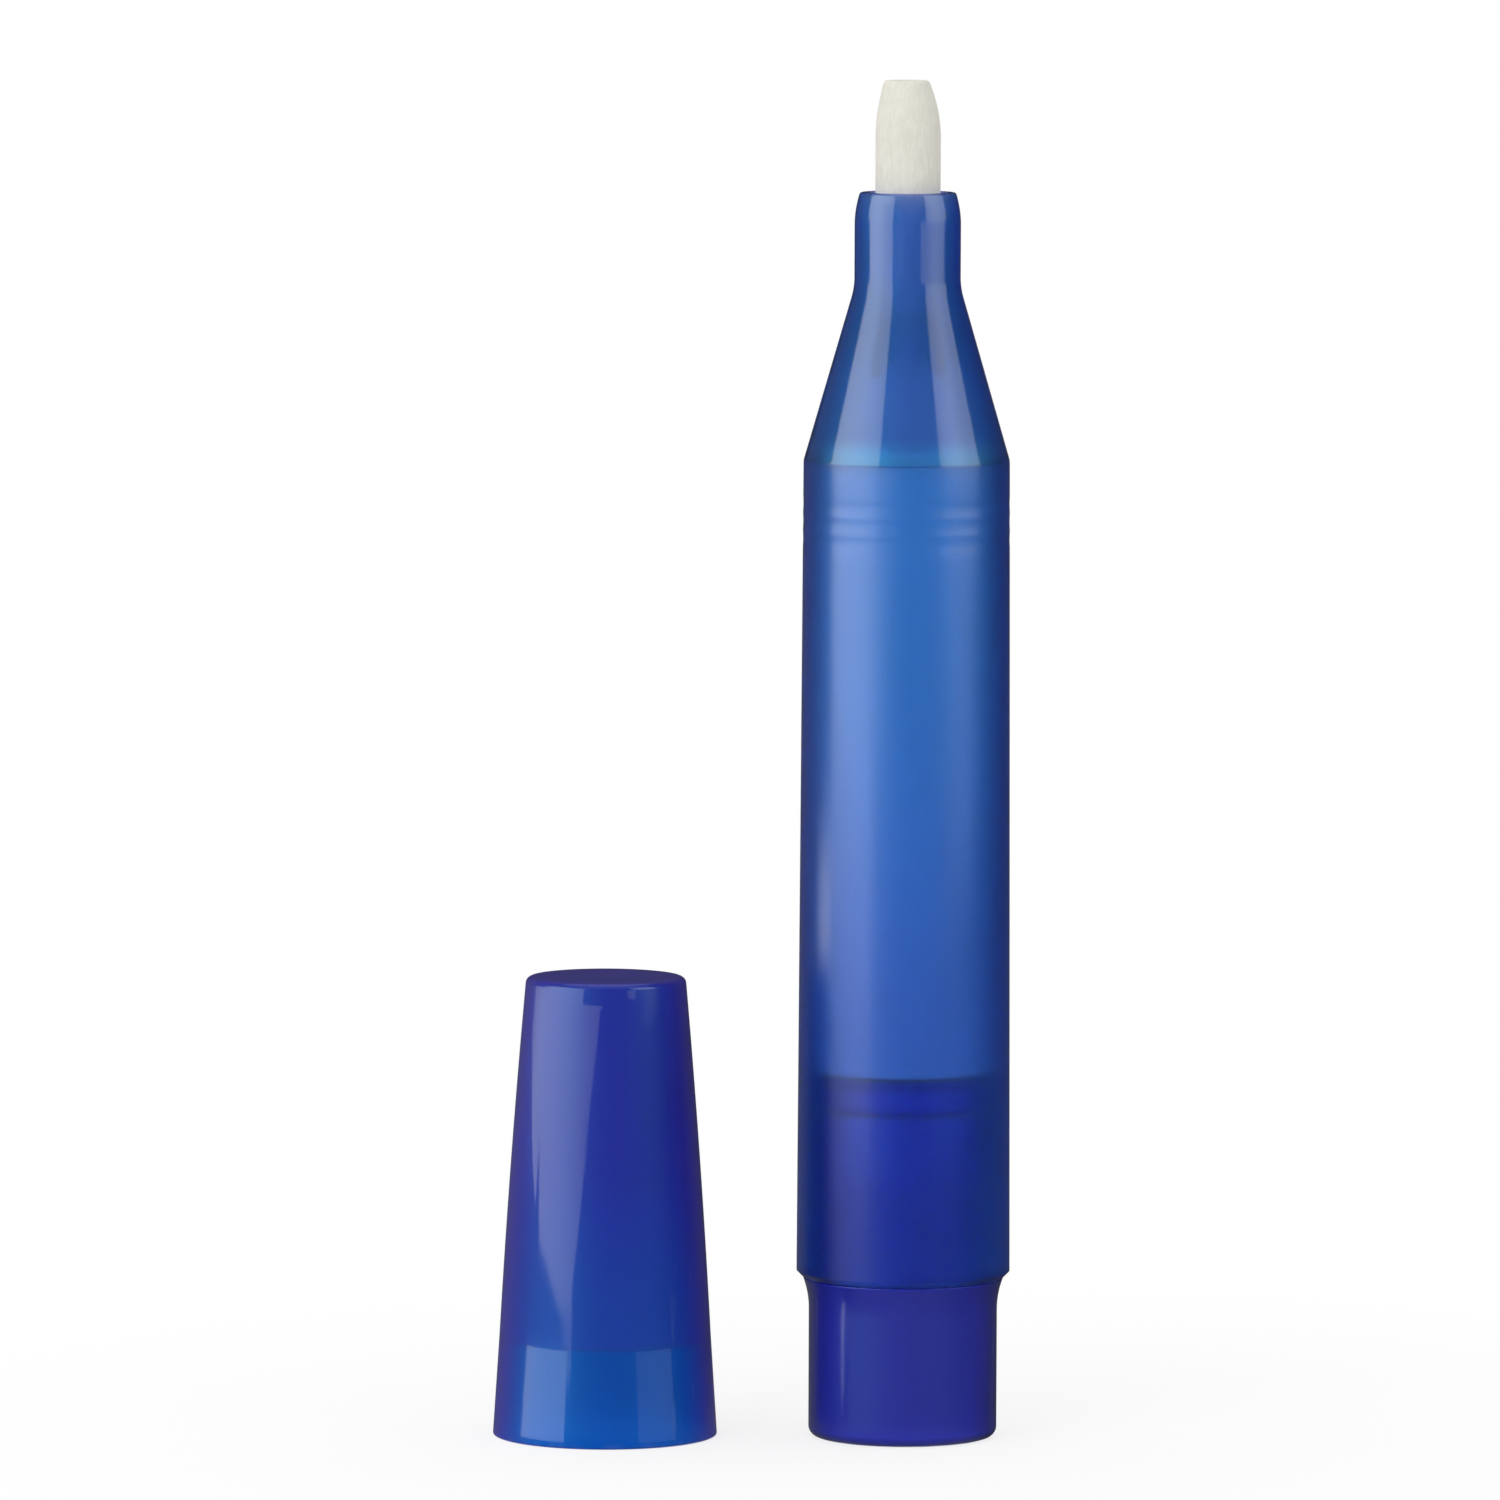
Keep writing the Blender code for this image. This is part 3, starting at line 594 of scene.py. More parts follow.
# Painted light and shade: one plastic, tinted lighter over the middle of the wad, darker towards
# the wad's foot and deeper above the wad
BARREL_BLUE = {
    "zones": (
        (None, (0.82, 0.77, 0.935), BARREL_ROUGHNESS),
        (WAD_FOOT_CHANGE, (0.81, 0.68, 0.87), BARREL_ROUGHNESS),
        (WAD_MIDDLE_CHANGE, (0.81, 0.86, 0.93), BARREL_ROUGHNESS),
        (WAD_TOP_CHANGE, (0.72, 0.53, 0.80), SHOULDER_ROUGHNESS),
    ),
    "edge_shade": (0.81, 0.42, 0.68), "absorbed": (0.12, 0.65, 0.955), "density": 1500,
    "clear": 1.0, "edge_height": BARREL_LIP,
}
DEEP_BLUE = {"absorbed": (0.2, 0.3, 0.8), "density": 400, "clear": 0.6, "edge_height": 0}
BARREL_PLASTIC = tinted_plastic("barrel_plastic", gloss=0.24, haze=(0.05, 0.1, 0.05), **BARREL_BLUE)
NECK_PLASTIC = tinted_plastic("neck_plastic", gloss=0.10, haze=(0.05, 1.0, 1.0), **BARREL_BLUE)
# Painted light: the spigot above the ledge, seen through the barrel, is tinted a brighter blue than
# the foot below it
TAIL_PLASTIC = tinted_plastic(
    "tail_plastic", gloss=0.16, edge_shade=(0.03, 0.03, 0.38), zones=(
        (None, (0.050, 0.044, 0.66), DEEP_ROUGHNESS),
        (TAIL_LEDGE_CHANGE, (0.056, 0.045, 1.0), DEEP_ROUGHNESS),
    ), **DEEP_BLUE)
# Painted light: one plastic whose tint turns lighter and greener from the crown down to the skirt,
# as light comes through the thinner lower wall
CAP_PLASTIC = tinted_plastic(
    "cap_plastic", gloss=0.05, shine=0.55, edge_shade=(0.12, 0.085, 0.66), zones=(
        (None, (0.002, 0.135, 0.68), DEEP_ROUGHNESS),
        (CAP_STEP_CHANGE, (0.024, 0.092, 0.67), DEEP_ROUGHNESS),
        (CAP_SIDE_CHANGE, (0.040, 0.040, 0.65), DEEP_ROUGHNESS),
    ), **DEEP_BLUE)
SEAL_PLASTIC = tinted_plastic(
    "seal_plastic", zones=((None, (0.90, 0.94, 0.97), 0.45),), edge_shade=(0.84, 0.90, 0.95),
    absorbed=(0.8, 0.9, 0.95), density=500, clear=0.6, edge_height=SEAL_LOW.z, gloss=0.25,
    haze=(1, 1, 1))
NIB_FELT = fibre_material(
    "nib_felt", colour=(0.80, 0.785, 0.70), shade=(0.74, 0.725, 0.64), roughness=0.92,
    depth=0.00003, fibre_scale=5200, stretch=0.16, clump_scale=900)
WICK_FIBRE = fibre_material(
    "wick_fibre", colour=(0.82, 0.81, 0.76), shade=(0.70, 0.69, 0.64), roughness=0.95,
    depth=0.00005, fibre_scale=8000, stretch=0.03, clump_scale=700)
WAD_FIBRE = fibre_material(
    "wad_fibre", colour=(0.86, 0.86, 0.85), shade=(0.76, 0.76, 0.75), roughness=0.95,
    depth=0.00008, fibre_scale=4200, stretch=0.05, clump_scale=500)
FILM = film_material("film_wrap")


# Pieces

def make_barrel():
    """Barrel with crowned neck, cone, grip rings and chamfered lip, and fins inside its neck."""
    crown_foot = NECK_TOP - CROWN_LENGTH
    crown = eased((NECK_RADIUS - CROWN_DRAW, NECK_TOP), (NECK_RADIUS, crown_foot))
    bore_cone_top = SHOULDER_HEIGHT + (
        SHOULDER_RADIUS - CONE_WALL_ACROSS - NECK_BORE_RADIUS) / CONE_SLOPE
    lip_top = BARREL_LIP + LIP_CHAMFER
    ring_end = SHOULDER_HEIGHT - RING_DROP - RING_COUNT * RING_PITCH
    corners = [(NECK_BORE_RADIUS, NECK_TOP), (*crown[0], NECK_LIP_ROUNDING)]
    corners.extend(crown[1:])
    corners.append((NECK_RADIUS, NECK_START, NECK_BLEND_REACH))
    corners.append((SHOULDER_RADIUS, SHOULDER_HEIGHT, SHOULDER_ROUNDING))
    for ring in range(RING_COUNT):
        middle = SHOULDER_HEIGHT - RING_DROP - ring * RING_PITCH
        corners.append((barrel_radius(middle + RING_WIDTH), middle + RING_WIDTH))
        corners.append((barrel_radius(middle) - RING_DEPTH, middle, RING_BLEND_REACH))
        corners.append((barrel_radius(middle - RING_WIDTH), middle - RING_WIDTH))
    corners.extend(sampled(barrel_radius, ring_end, lip_top))
    corners.append((barrel_radius(lip_top) - LIP_CHAMFER, BARREL_LIP))
    corners.append((bore_radius(BARREL_LIP) + LIP_LEAD_IN, BARREL_LIP))
    corners.append((bore_radius(BARREL_LIP), BARREL_LIP + LIP_LEAD_IN))
    corners.append((INNER_SHOULDER_RADIUS, INNER_SHOULDER_HEIGHT))
    corners.append((NECK_BORE_RADIUS, bore_cone_top))
    barrel = piece_of("barrel_shell", turned(corners, closed=True))

    fin_top = NECK_TOP - NECK_FIN_RECESS
    nib_stop = NIB_LOW.z - SEAT_GAP
    wick_hold_foot = nib_stop - WICK_HOLD_LENGTH
    fin_foot = wick_hold_foot - NECK_FIN_FOOT_RISE
    in_neck_wall = (NECK_BORE_RADIUS + NECK_RADIUS) / 2
    fin = [
        (NIB_RADIUS + SEAT_GAP, fin_top),
        (in_neck_wall, fin_top),
        (in_neck_wall, bore_cone_top),
        (cone_bore(fin_foot) + BARREL_WALL / 2, fin_foot),
        (WICK_RADIUS + SEAT_GAP, wick_hold_foot),
        (WICK_RADIUS + SEAT_GAP, nib_stop),
        (NIB_RADIUS + SEAT_GAP, nib_stop),
    ]
    fins = piece_of("neck_fins", fin_ring(
        fin, NECK_FIN_THICKNESS, FIN_ROUNDING, NECK_FIN_COUNT))
    join_fins(barrel, fins)
    finish(barrel, BARREL_PLASTIC, "barrel", "barrel_blue", "barrel")
    barrel.data.materials.append(NECK_PLASTIC)
    for face in barrel.data.polygons:
        face.material_index = int(face.center.z > SHOULDER_HEIGHT)


def nib_mesh(low, high):
    """Nib that tapers in a curve to its flat tip, a little fuller on one side."""
    centre = ((low.x + high.x) / 2, (low.y + high.y) / 2)
    tip_foot = high.z - NIB_TIP_LENGTH
    side = eased((NIB_TIP_RADIUS, high.z), (NIB_RADIUS, tip_foot))
    corners = [(0, high.z), (NIB_TIP_RADIUS / 2, high.z), (*side[0], NIB_TIP_ROUNDING)]
    corners.extend(side[1:])
    corners.extend(sampled(lambda height: NIB_RADIUS, tip_foot, low.z + NIB_HEEL_CHAMFER)[1:])
    corners.append((NIB_RADIUS - NIB_HEEL_CHAMFER, low.z))
    corners.append((0, low.z))
    made = turned(corners, closed=False, turns=NIB_TURNS, centre=centre)
    for vert in made.verts:
        if vert.co.z > tip_foot:
            vert.co.x -= NIB_TIP_LEAN * ((vert.co.z - tip_foot) / NIB_TIP_LENGTH) ** 2
    return made


def make_nibs():
    """Nib in the neck, and the spare ones in the tail."""
    nib = piece_of("nib_tip", nib_mesh(NIB_LOW, NIB_HIGH))
    finish(nib, NIB_FELT, "nib", "nib_felt", "nib")
    for node in sorted(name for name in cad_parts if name.startswith("spare_nib")):
        low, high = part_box(node)
        spare = piece_of(node + "_felt", nib_mesh(low, high))
        finish(spare, NIB_FELT, "tail", "nib_felt", node)


def make_wick():
    """Fibre rod from deep in the wad to just under the nib."""
    corners = [
        (0, WICK_HIGH.z),
        (WICK_RADIUS, WICK_HIGH.z, WICK_END_CHAMFER),
        (WICK_RADIUS, WICK_LOW.z, WICK_END_CHAMFER),
        (0, WICK_LOW.z),
    ]
    wick = piece_of("feed_wick_rod", turned(corners, closed=False, turns=NIB_TURNS))
    finish(wick, WICK_FIBRE, "barrel", "wick_fibre", "feed_wick")


def make_reservoir():
    """Fibre wad with the wick's socket in its top, and the film wrapped round it."""
    socket_foot = WICK_LOW.z - SEAT_GAP
    corners = [
        (0, socket_foot),
        (WICK_RADIUS + SEAT_GAP, socket_foot),
        (WICK_RADIUS + SEAT_GAP, WAD_HIGH.z),
        (WAD_HIGH.x, WAD_HIGH.z, WAD_END_ROUNDING),
        (WAD_HIGH.x, WAD_LOW.z, WAD_END_ROUNDING / 2),
        (0, WAD_LOW.z),
    ]
    wad = piece_of("reservoir_wad", turned(corners, closed=False))
    finish(wad, WAD_FIBRE, "barrel", "wad_fibre", "reservoir_core")

    film_bore = FILM_HIGH.x - FILM_THICKNESS
    corners = [
        (film_bore, FILM_HIGH.z),
        (FILM_HIGH.x, FILM_HIGH.z),
        (FILM_HIGH.x, FILM_LOW.z),
        (film_bore, FILM_LOW.z),
    ]
    film = piece_of("reservoir_wrap", turned(corners, closed=True))
    finish(film, FILM, "barrel", "film_wrap", "reservoir_film")


def make_stopper():
    """Cup-shaped plug under the wad, open downwards, with a rounded sealing lip at each end."""
    low = STOPPER_LOW.z
    high = STOPPER_HIGH.z
    lip = STOPPER_HIGH.x
    body = lip - STOPPER_LIP_RISE
    hollow = body - STOPPER_WALL
    lip_reach = STOPPER_LIP_RISE / 2
    corners = [
        (0, high),
        (body, high),
        (lip, high - STOPPER_LIP_LENGTH / 2, lip_reach),
        (body, high - STOPPER_LIP_LENGTH),
        (body, low + STOPPER_LIP_LENGTH),
        (lip, low + STOPPER_LIP_LENGTH / 2, lip_reach),
        (body, low),
        (hollow, low),
        (hollow, high - STOPPER_WEB, lip_reach),
        (0, high - STOPPER_WEB),
    ]
    stopper = piece_of("wad_stopper", turned(corners, closed=False))
    finish(stopper, TAIL_PLASTIC, "barrel", "stopper_blue", "reservoir_stopper")


def make_tail():
    """Hollow tail: foot, side, concave flare to the ledge, and the spigot above it."""
    flare_start = TAIL_LEDGE_HEIGHT - TAIL_FLARE_LENGTH
    flare = eased((TAIL_LEDGE_RADIUS, TAIL_LEDGE_HEIGHT), (TAIL_RADIUS, flare_start))
    bead = SPIGOT_TOP - SPIGOT_BEAD_DROP
    bead_half = SPIGOT_BEAD_LENGTH / 2
    corners = [
        (0, TAIL_FLOOR_THICKNESS),
        (COMPARTMENT_RADIUS, TAIL_FLOOR_THICKNESS, COMPARTMENT_ROUNDING),
    ]
    corners.extend(sampled(lambda height: COMPARTMENT_RADIUS,
                           TAIL_FLOOR_THICKNESS + 2 * COMPARTMENT_ROUNDING, SPIGOT_TOP))
    corners.append((SPIGOT_RADIUS - SPIGOT_LEAD_IN / 2, SPIGOT_TOP))
    corners.append((SPIGOT_RADIUS, SPIGOT_TOP - SPIGOT_LEAD_IN))
    corners.append((SPIGOT_RADIUS, bead + bead_half))
    corners.append((SPIGOT_RADIUS + SPIGOT_BEAD_RISE, bead, bead_half / 2))
    corners.append((SPIGOT_RADIUS, bead - bead_half))
    corners.append((SPIGOT_RADIUS, TAIL_LEDGE_HEIGHT))
    corners.append((*flare[0], TAIL_LEDGE_ROUNDING))
    corners.extend(flare[1:])
    corners.extend(sampled(lambda height: TAIL_RADIUS,
                           flare_start, 2 * TAIL_FOOT_ROUNDING, CORNER_STEPS)[1:])
    corners.append((TAIL_RADIUS, 0, TAIL_FOOT_ROUNDING))
    corners.append((0, 0))
    tail = piece_of("tail_shell", turned(corners, closed=False))
    finish(tail, TAIL_PLASTIC, "tail", "tail_blue", "tail_plug")


def make_cap():
    """Tapered cap: thin straight skirt up to the step, thicker bowed side above, flat crown."""
    skirt_top = CAP_STEP_HEIGHT - CAP_STEP_RISE
    side = sampled(cap_radius, CAP_HEIGHT, CAP_STEP_HEIGHT)
    skirt = sampled(cap_radius, CAP_STEP_HEIGHT, 0, CORNER_STEPS)
    inner_side = sampled(lambda height: cap_radius(height) - CAP_WALL, CAP_STEP_HEIGHT, CAP_CEILING)
    corners = [(0, CAP_HEIGHT), (CAP_CEILING_RADIUS / 2, CAP_HEIGHT)]
    corners.append((*side[0], CAP_TOP_ROUNDING))
    corners.extend(side[1:-1])
    corners.extend(skirt[:-1])
    corners.append((*skirt[-1], CAP_RIM_ROUNDING))
    corners.append((CAP_RIM_RADIUS - CAP_SKIRT_WALL, 0))
    corners.append((cap_radius(skirt_top) - CAP_SKIRT_WALL, skirt_top))
    corners.extend(inner_side)
    corners.append((0, CAP_CEILING))
    cap = piece_of("cap_cover", turned(corners, closed=False, centre=CAP_CENTRE))

    in_crown = CAP_CEILING + CAP_CROWN_THICKNESS / 2
    seal_hold = SEAL_RADIUS + SEAT_GAP
    fin_foot = SEAL_LOW.z + CAP_FIN_LIFT
    fin = [
        (seal_hold, in_crown),
        (CAP_CEILING_RADIUS - CAP_WALL / 2, in_crown),
        (cap_radius(fin_foot) - CAP_WALL / 2, fin_foot),
        (seal_hold, fin_foot + CAP_FIN_FOOT_RISE),
    ]
    fins = piece_of("cap_fins", fin_ring(
        fin, CAP_FIN_THICKNESS, FIN_ROUNDING, CAP_FIN_COUNT, CAP_CENTRE))
    join_fins(cap, fins)
    finish(cap, CAP_PLASTIC, "cap", "cap_blue", "cap_shell")

    seal_bore = SEAL_RADIUS - SEAL_WALL
    seal_ceiling = SEAL_HIGH.z - SEAL_TOP_THICKNESS
    corners = [
        (0, SEAL_HIGH.z),
        (SEAL_RADIUS, SEAL_HIGH.z, SEAL_TOP_ROUNDING),
        (SEAL_RADIUS, SEAL_LOW.z),
        (seal_bore + SEAL_LEAD_IN, SEAL_LOW.z),
        (seal_bore, SEAL_LOW.z + SEAL_LEAD_IN),
        (seal_bore, seal_ceiling),
        (0, seal_ceiling),
    ]
    seal = piece_of("cap_seal", turned(corners, closed=False, centre=CAP_CENTRE))
    finish(seal, SEAL_PLASTIC, "cap", "seal_clear", "cap_inner_seal")


# Studio

# Floor: near the pen it takes light and shadow with a share of its white, and further off it glows
FLOOR_HALF_WIDTH = 3.0
FLOOR_ROUGHNESS = 0.9
FLOOR_LIT_SHARE = 0.22
FLOOR_BOUNCE = 0.7
SHADOW_INNER_REACH = 0.03
SHADOW_OUTER_REACH = 0.11

# World: its light on all but what sees it directly
AMBIENT = 0.85

# Cloths: their greys, with the floor's at its left and right, and where one turns into the next
FRONT_CLOTH = 0.2
FLOOR_CLOTH = (0.10, 0.05)
BACK_CLOTH = 0.04
FRONT_REACH = (math.radians(30), math.radians(75))
FLOOR_REACH = (-1, 1)
FOLD_REACH = (0.001, 0.01)
CLOTH_RADIUS = 1.2
CLOTH_HEIGHT = 1.4
CLOTH_LIFT = 0.0001

# Side cloths: the azimuth where each starts, and its grey
SIDE_CLOTHS = (("left", -150, 0.10), ("right", 70, 0.04))
SIDE_CLOTH_SPAN = 80
SIDE_CLOTH_RADIUS = 0.9

# Light cards, and the distances between which the one on the floor dims towards the pen
CARD_STEP = 1.5
GLOW_LIFT = 0.0002
GLOW_FADE_REACH = (0.28, 0.55)
GLOW_FADE_SHARE = 0.3
LEFT_DISTANCE = 0.55
RIGHT_DISTANCE = 0.30
CAP_CARD_DISTANCE = 0.05
SKIRT_CARD_DISTANCE = 0.0125
SKIRT_CARD_TOP = 0.0077


def only_in_reflections(stand, through_plastic=False):
    """Leaves a studio piece to be seen only in reflections, or through clear plastic too."""
    stand.visible_camera = False
    stand.visible_diffuse = False
    stand.visible_transmission = through_plastic
    stand.visible_volume_scatter = False
    stand.visible_shadow = False


def glowing(name, strength_of):
    """Material that glows white, with a strength that strength_of makes in its node tree."""
    material = bpy.data.materials.new(name)
    material.use_nodes = True
    tree = material.node_tree
    tree.nodes.remove(tree.nodes["Principled BSDF"])
    glow = add(tree, "ShaderNodeEmission")
    feed(tree, glow.inputs["Strength"], strength_of(tree))
    feed(tree, tree.nodes["Material Output"].inputs["Surface"], glow.outputs["Emission"])
    return material


def card_mesh(stations, edges_at, centre=(0, 0)):
    """Card curved round the pen, or round another centre.

    Each station is an azimuth in degrees to the right of the camera, and a value that edges_at
    turns into the (radius, height) of the card's two edges there.
    """
    start = stations[0][0]
    span = stations[-1][0] - start
    made = bmesh.new()
    made.edges.new([made.verts.new((0, -1, end)) for end in (0, 1)])
    bmesh.ops.rotate(made, verts=made.verts, cent=(0, 0, 0),
                     matrix=Matrix.Rotation(math.radians(start), 3, "Z"))
    bmesh.ops.spin(made, geom=made.verts[:] + made.edges[:], cent=(0, 0, 0), axis=(0, 0, 1),
                   angle=math.radians(span), steps=round(span / CARD_STEP))
    for vert in made.verts:
        azimuth = math.degrees(math.atan2(vert.co.x, -vert.co.y))
        first, last = next(pair for pair in zip(stations, stations[1:])
                           if azimuth < pair[1][0] or pair[1] is stations[-1])
        share = (azimuth - first[0]) / (last[0] - first[0])
        edges = edges_at(first[1] + (last[1] - first[1]) * share)
        radius, height = edges[int(vert.co.z > 0.5)]
        vert.co = (vert.co.x * radius, vert.co.y * radius, height)
    bmesh.ops.translate(made, verts=made.verts, vec=(*centre, 0))
    return made


def upright(distance, top):
    """Edges of a card that stands at a distance up to a level top, from its lowest height."""
    return lambda low: ((distance, low), (distance, top))


def lying(far):
    """Edges of a card that lies on the floor out to a distance, from its nearest reach."""
    return lambda near: ((near, GLOW_LIFT), (far, GLOW_LIFT))


def azimuth_of(tree):
    """Place's radians to the right of the camera, and its distance, both seen from the pen."""
    place = parts_of(tree, object_place(tree))
    toward = math_node(tree, "MULTIPLY", place["Y"], -1)
    distance = math_node(tree, "SQRT", math_node(
        tree, "ADD", math_node(tree, "POWER", place["X"], 2),
        math_node(tree, "POWER", place["Y"], 2)))
    return math_node(tree, "ARCTAN2", place["X"], toward), distance


def light_card(name, made, rim, core, middle, reach, through_plastic=False, fades=False):
    """Card that glows on its front side, as a softbox does.

    Its strength is core at the azimuth middle and goes down to rim at the reach from it. With
    fades it dims towards the pen too.
    """
    card = piece_of(name, made)

    def strength_of(tree):
        azimuth, distance = azimuth_of(tree)
        away = math_node(tree, "ABSOLUTE", math_node(
            tree, "SUBTRACT", azimuth, math.radians(middle)))
        front = math_node(tree, "SUBTRACT", 1,
                          add(tree, "ShaderNodeNewGeometry").outputs["Backfacing"])
        even = math_node(tree, "MULTIPLY", front, ramped(
            tree, away, 0, math.radians(reach), core, rim))
        if not fades:
            return even
        return math_node(tree, "MULTIPLY", even, ramped(
            tree, distance, *GLOW_FADE_REACH, GLOW_FADE_SHARE, 1))

    card.data.materials.append(glowing(name + "_glow", strength_of))
    only_in_reflections(card, through_plastic)


def make_cloths():
    """Dark cloths that keep the white studio out of the pen's skin.

    One lies under it and stands all round it, for reflections. It is palest in front and darkest
    behind, and its floor is paler at the left. Two stand at its sides, for what is seen through
    the plastic too.
    """
    made = turned([(0, CLOTH_LIFT), (CLOTH_RADIUS, CLOTH_LIFT), (CLOTH_RADIUS, CLOTH_HEIGHT)],
                  closed=False)
    surround = piece_of("grey_surround", made)

    def strength_of(tree):
        azimuth = azimuth_of(tree)[0]
        floor = ramped(tree, azimuth, *FLOOR_REACH, *FLOOR_CLOTH)
        height = parts_of(tree, object_place(tree))["Z"]
        behind = ramped(tree, height, *FOLD_REACH, floor, BACK_CLOTH)
        turn = math_node(tree, "ABSOLUTE", azimuth)
        return ramped(tree, turn, *FRONT_REACH, FRONT_CLOTH, behind)

    surround.data.materials.append(glowing("grey_cloth", strength_of))
    only_in_reflections(surround)
    for side, start, grey in SIDE_CLOTHS:
        made = card_mesh([(start, 0), (start + SIDE_CLOTH_SPAN, 0)],
                         upright(SIDE_CLOTH_RADIUS, CLOTH_HEIGHT))
        cloth = piece_of(side + "_side_cloth", made)
        cloth.data.materials.append(glowing(side + "_cloth", lambda tree, grey=grey: grey))
        only_in_reflections(cloth, through_plastic=True)


def make_cards():
    """Softboxes at the left and right, their glow on the floor, and small cards round the cap."""
    left_glow = {"rim": 2.2, "core": 4.4, "middle": -70, "reach": 58}
    light_card(
        "high_softbox",
        card_mesh([(-97, 0.12), (-33, 0.12)], upright(LEFT_DISTANCE, top=0.41)),
        through_plastic=True, **left_glow)
    light_card(
        "left_softbox",
        card_mesh([(-91, 0.02), (-82, 0), (-40, 0), (-34, 0.016)],
                  upright(LEFT_DISTANCE, top=0.12)),
        **left_glow)
    light_card(
        "low_softbox",
        card_mesh([(-35, 0.012), (-33.8, 0.0166), (-26.7, 0.033), (-21.5, 0.0442),
                   (-13.7, 0.0553), (-9.7, 0.0642), (-8, 0.070)], upright(0.42, top=0.0742)),
        **left_glow)
    light_card(
        "floor_glow",
        card_mesh([(-70, 0.54), (-60, 0.46), (-50, 0.37), (-45, 0.29), (-42, 0.26),
                   (-40, 0.30), (-37, 0.54)], lying(LEFT_DISTANCE)),
        fades=True, **left_glow)
    light_card(
        "left_cap_card",
        card_mesh([(-113, 0.032), (-107, 0.029), (-103, 0.0265), (-94, 0.0217), (-88, 0.0190),
                   (-84, 0.0180)], upright(CAP_CARD_DISTANCE, top=0.042), CAP_CENTRE),
        rim=1.6, core=3.5, middle=-89, reach=17)
    light_card(
        "right_softbox",
        card_mesh([(39, 0.11), (91, 0.11)], upright(RIGHT_DISTANCE, top=0.34)),
        rim=2.3, core=3.5, middle=60, reach=26, through_plastic=True)
    light_card(
        "right_low_softbox",
        card_mesh([(28, 0.078), (40, 0.074), (44, 0.058), (86, 0.058)],
                  upright(RIGHT_DISTANCE, top=0.11)),
        rim=1.5, core=2.5, middle=60, reach=30)
    light_card(
        "right_fill",
        card_mesh([(32, 0.038), (82, 0.038)], upright(0.10, top=0.068)),
        rim=0.2, core=0.7, middle=60, reach=25)
    by_the_skirt = upright(SKIRT_CARD_DISTANCE, SKIRT_CARD_TOP)
    light_card(
        "left_skirt_card",
        card_mesh([(-64, 0), (-27, 0)], by_the_skirt, CAP_CENTRE),
        rim=3.2, core=3.2, middle=-60, reach=25)
    light_card(
        "right_skirt_card",
        card_mesh([(23, 0), (52, 0)], by_the_skirt, CAP_CENTRE),
        rim=0.8, core=0.8, middle=60, reach=25)


def make_key_light(azimuth, distance, size, lowest, radiance):
    """Soft key light that shapes the matt pieces, and is left out of the reflections.

    An area light sends out pi times its area for each unit of radiance.
    """
    light = bpy.data.lights.new("key_light", "AREA")
    light.shape = "SQUARE"
    light.size = size
    light.energy = radiance * math.pi * size * size
    made = bpy.data.objects.new("key_light", light)
    bpy.context.scene.collection.objects.link(made)
    angle = math.radians(azimuth)
    made.location = (distance * math.sin(angle), -distance * math.cos(angle), lowest + size / 2)
    stand = Matrix.Rotation(angle, 4, "Z") @ Matrix.Rotation(math.radians(90), 4, "X")
    made.rotation_euler = stand.to_euler()
    made.visible_camera = False
    made.visible_glossy = False


def seen_directly(tree):
    """1 for rays that see the background itself, or see it in gloss or through the plastic."""
    path = add(tree, "ShaderNodeLightPath")
    clear = math_node(tree, "MAXIMUM", path.outputs["Is Glossy Ray"],
                      path.outputs["Is Transmission Ray"])
    return math_node(tree, "MAXIMUM", path.outputs["Is Camera Ray"], clear)


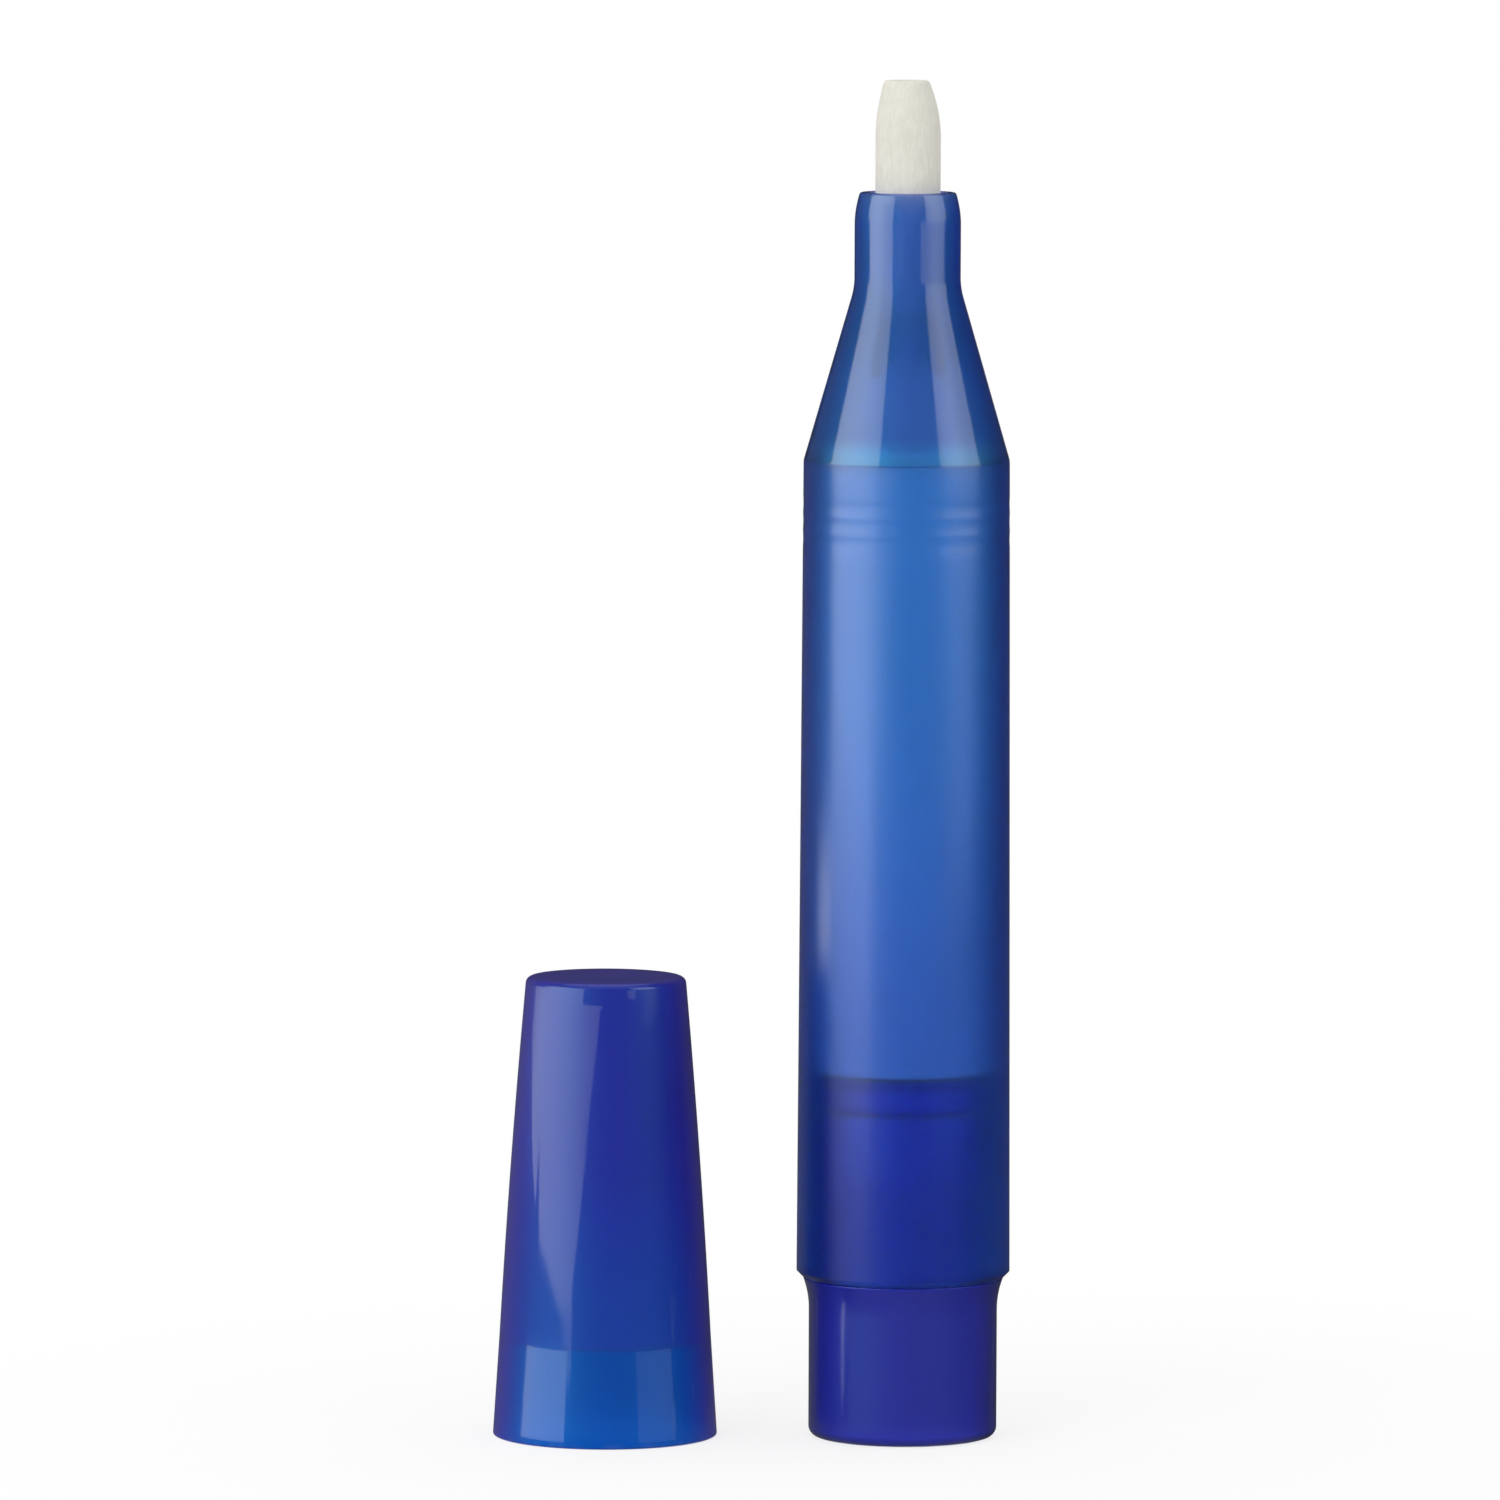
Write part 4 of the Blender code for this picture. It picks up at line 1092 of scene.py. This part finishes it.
def make_floor():
    """Plain pale floor that runs into the white background, and keeps the shadow near the pen."""
    made = bmesh.new()
    bmesh.ops.create_grid(made, x_segments=1, y_segments=1, size=FLOOR_HALF_WIDTH)
    floor = piece_of("floor", made)
    material = bpy.data.materials.new("floor_paper")
    material.use_nodes = True
    tree = material.node_tree
    shader = tree.nodes["Principled BSDF"]
    shader.inputs["Roughness"].default_value = FLOOR_ROUGHNESS
    shader.inputs["Specular IOR Level"].default_value = 0
    shader.inputs["Emission Color"].default_value = (1, 1, 1, 1)
    away = add(tree, "ShaderNodeVectorMath", operation="LENGTH")
    feed(tree, away.inputs[0], object_place(tree))
    lit = ramped(tree, away.outputs["Value"], SHADOW_INNER_REACH, SHADOW_OUTER_REACH,
                 FLOOR_LIT_SHARE, 0)
    direct = seen_directly(tree)
    seen = math_node(tree, "MULTIPLY", direct, lit)
    bounced = math_node(
        tree, "MULTIPLY", math_node(tree, "SUBTRACT", 1, direct), FLOOR_BOUNCE)
    grey = math_node(tree, "ADD", seen, bounced)
    colour = add(tree, "ShaderNodeCombineColor")
    for channel in colour.inputs:
        feed(tree, channel, grey)
    feed(tree, shader.inputs["Base Color"], colour.outputs["Color"])
    feed(tree, shader.inputs["Emission Strength"], math_node(
        tree, "MULTIPLY", direct, math_node(tree, "SUBTRACT", 1, lit)))
    floor.data.materials.append(material)


def make_world():
    """White background, and soft even light on the pieces."""
    world = bpy.data.worlds.new("studio")
    bpy.context.scene.world = world
    world.use_nodes = True
    tree = world.node_tree
    feed(tree, tree.nodes["Background"].inputs["Strength"],
         math_node(tree, "MAXIMUM", seen_directly(tree), AMBIENT))
    tree.nodes["Background"].inputs["Color"].default_value = (1, 1, 1, 1)


def make_camera():
    """Long lens in front of the pen, looking a little down on it."""
    data = bpy.data.cameras.new("camera")
    data.lens = LENS
    data.sensor_width = SENSOR
    data.sensor_fit = "HORIZONTAL"
    data.clip_end = CAMERA_REACH
    camera = bpy.data.objects.new("camera", data)
    bpy.context.scene.collection.objects.link(camera)
    camera.location = (CAMERA_SIDE, -CAMERA_DISTANCE, CAMERA_HEIGHT)
    pitch = Matrix.Rotation(math.pi / 2 - CAMERA_PITCH, 4, "X")
    roll = Matrix.Rotation(CAMERA_ROLL, 4, "Z")
    camera.rotation_euler = (pitch @ roll).to_euler()
    bpy.context.scene.camera = camera


make_camera()
make_barrel()
make_nibs()
make_wick()
make_reservoir()
make_stopper()
make_tail()
make_cap()
make_floor()
make_world()
make_cloths()
make_key_light(azimuth=-35, distance=0.70, size=0.50, lowest=0.15, radiance=2.0)
make_cards()

bpy.context.scene.view_settings.view_transform = "Standard"
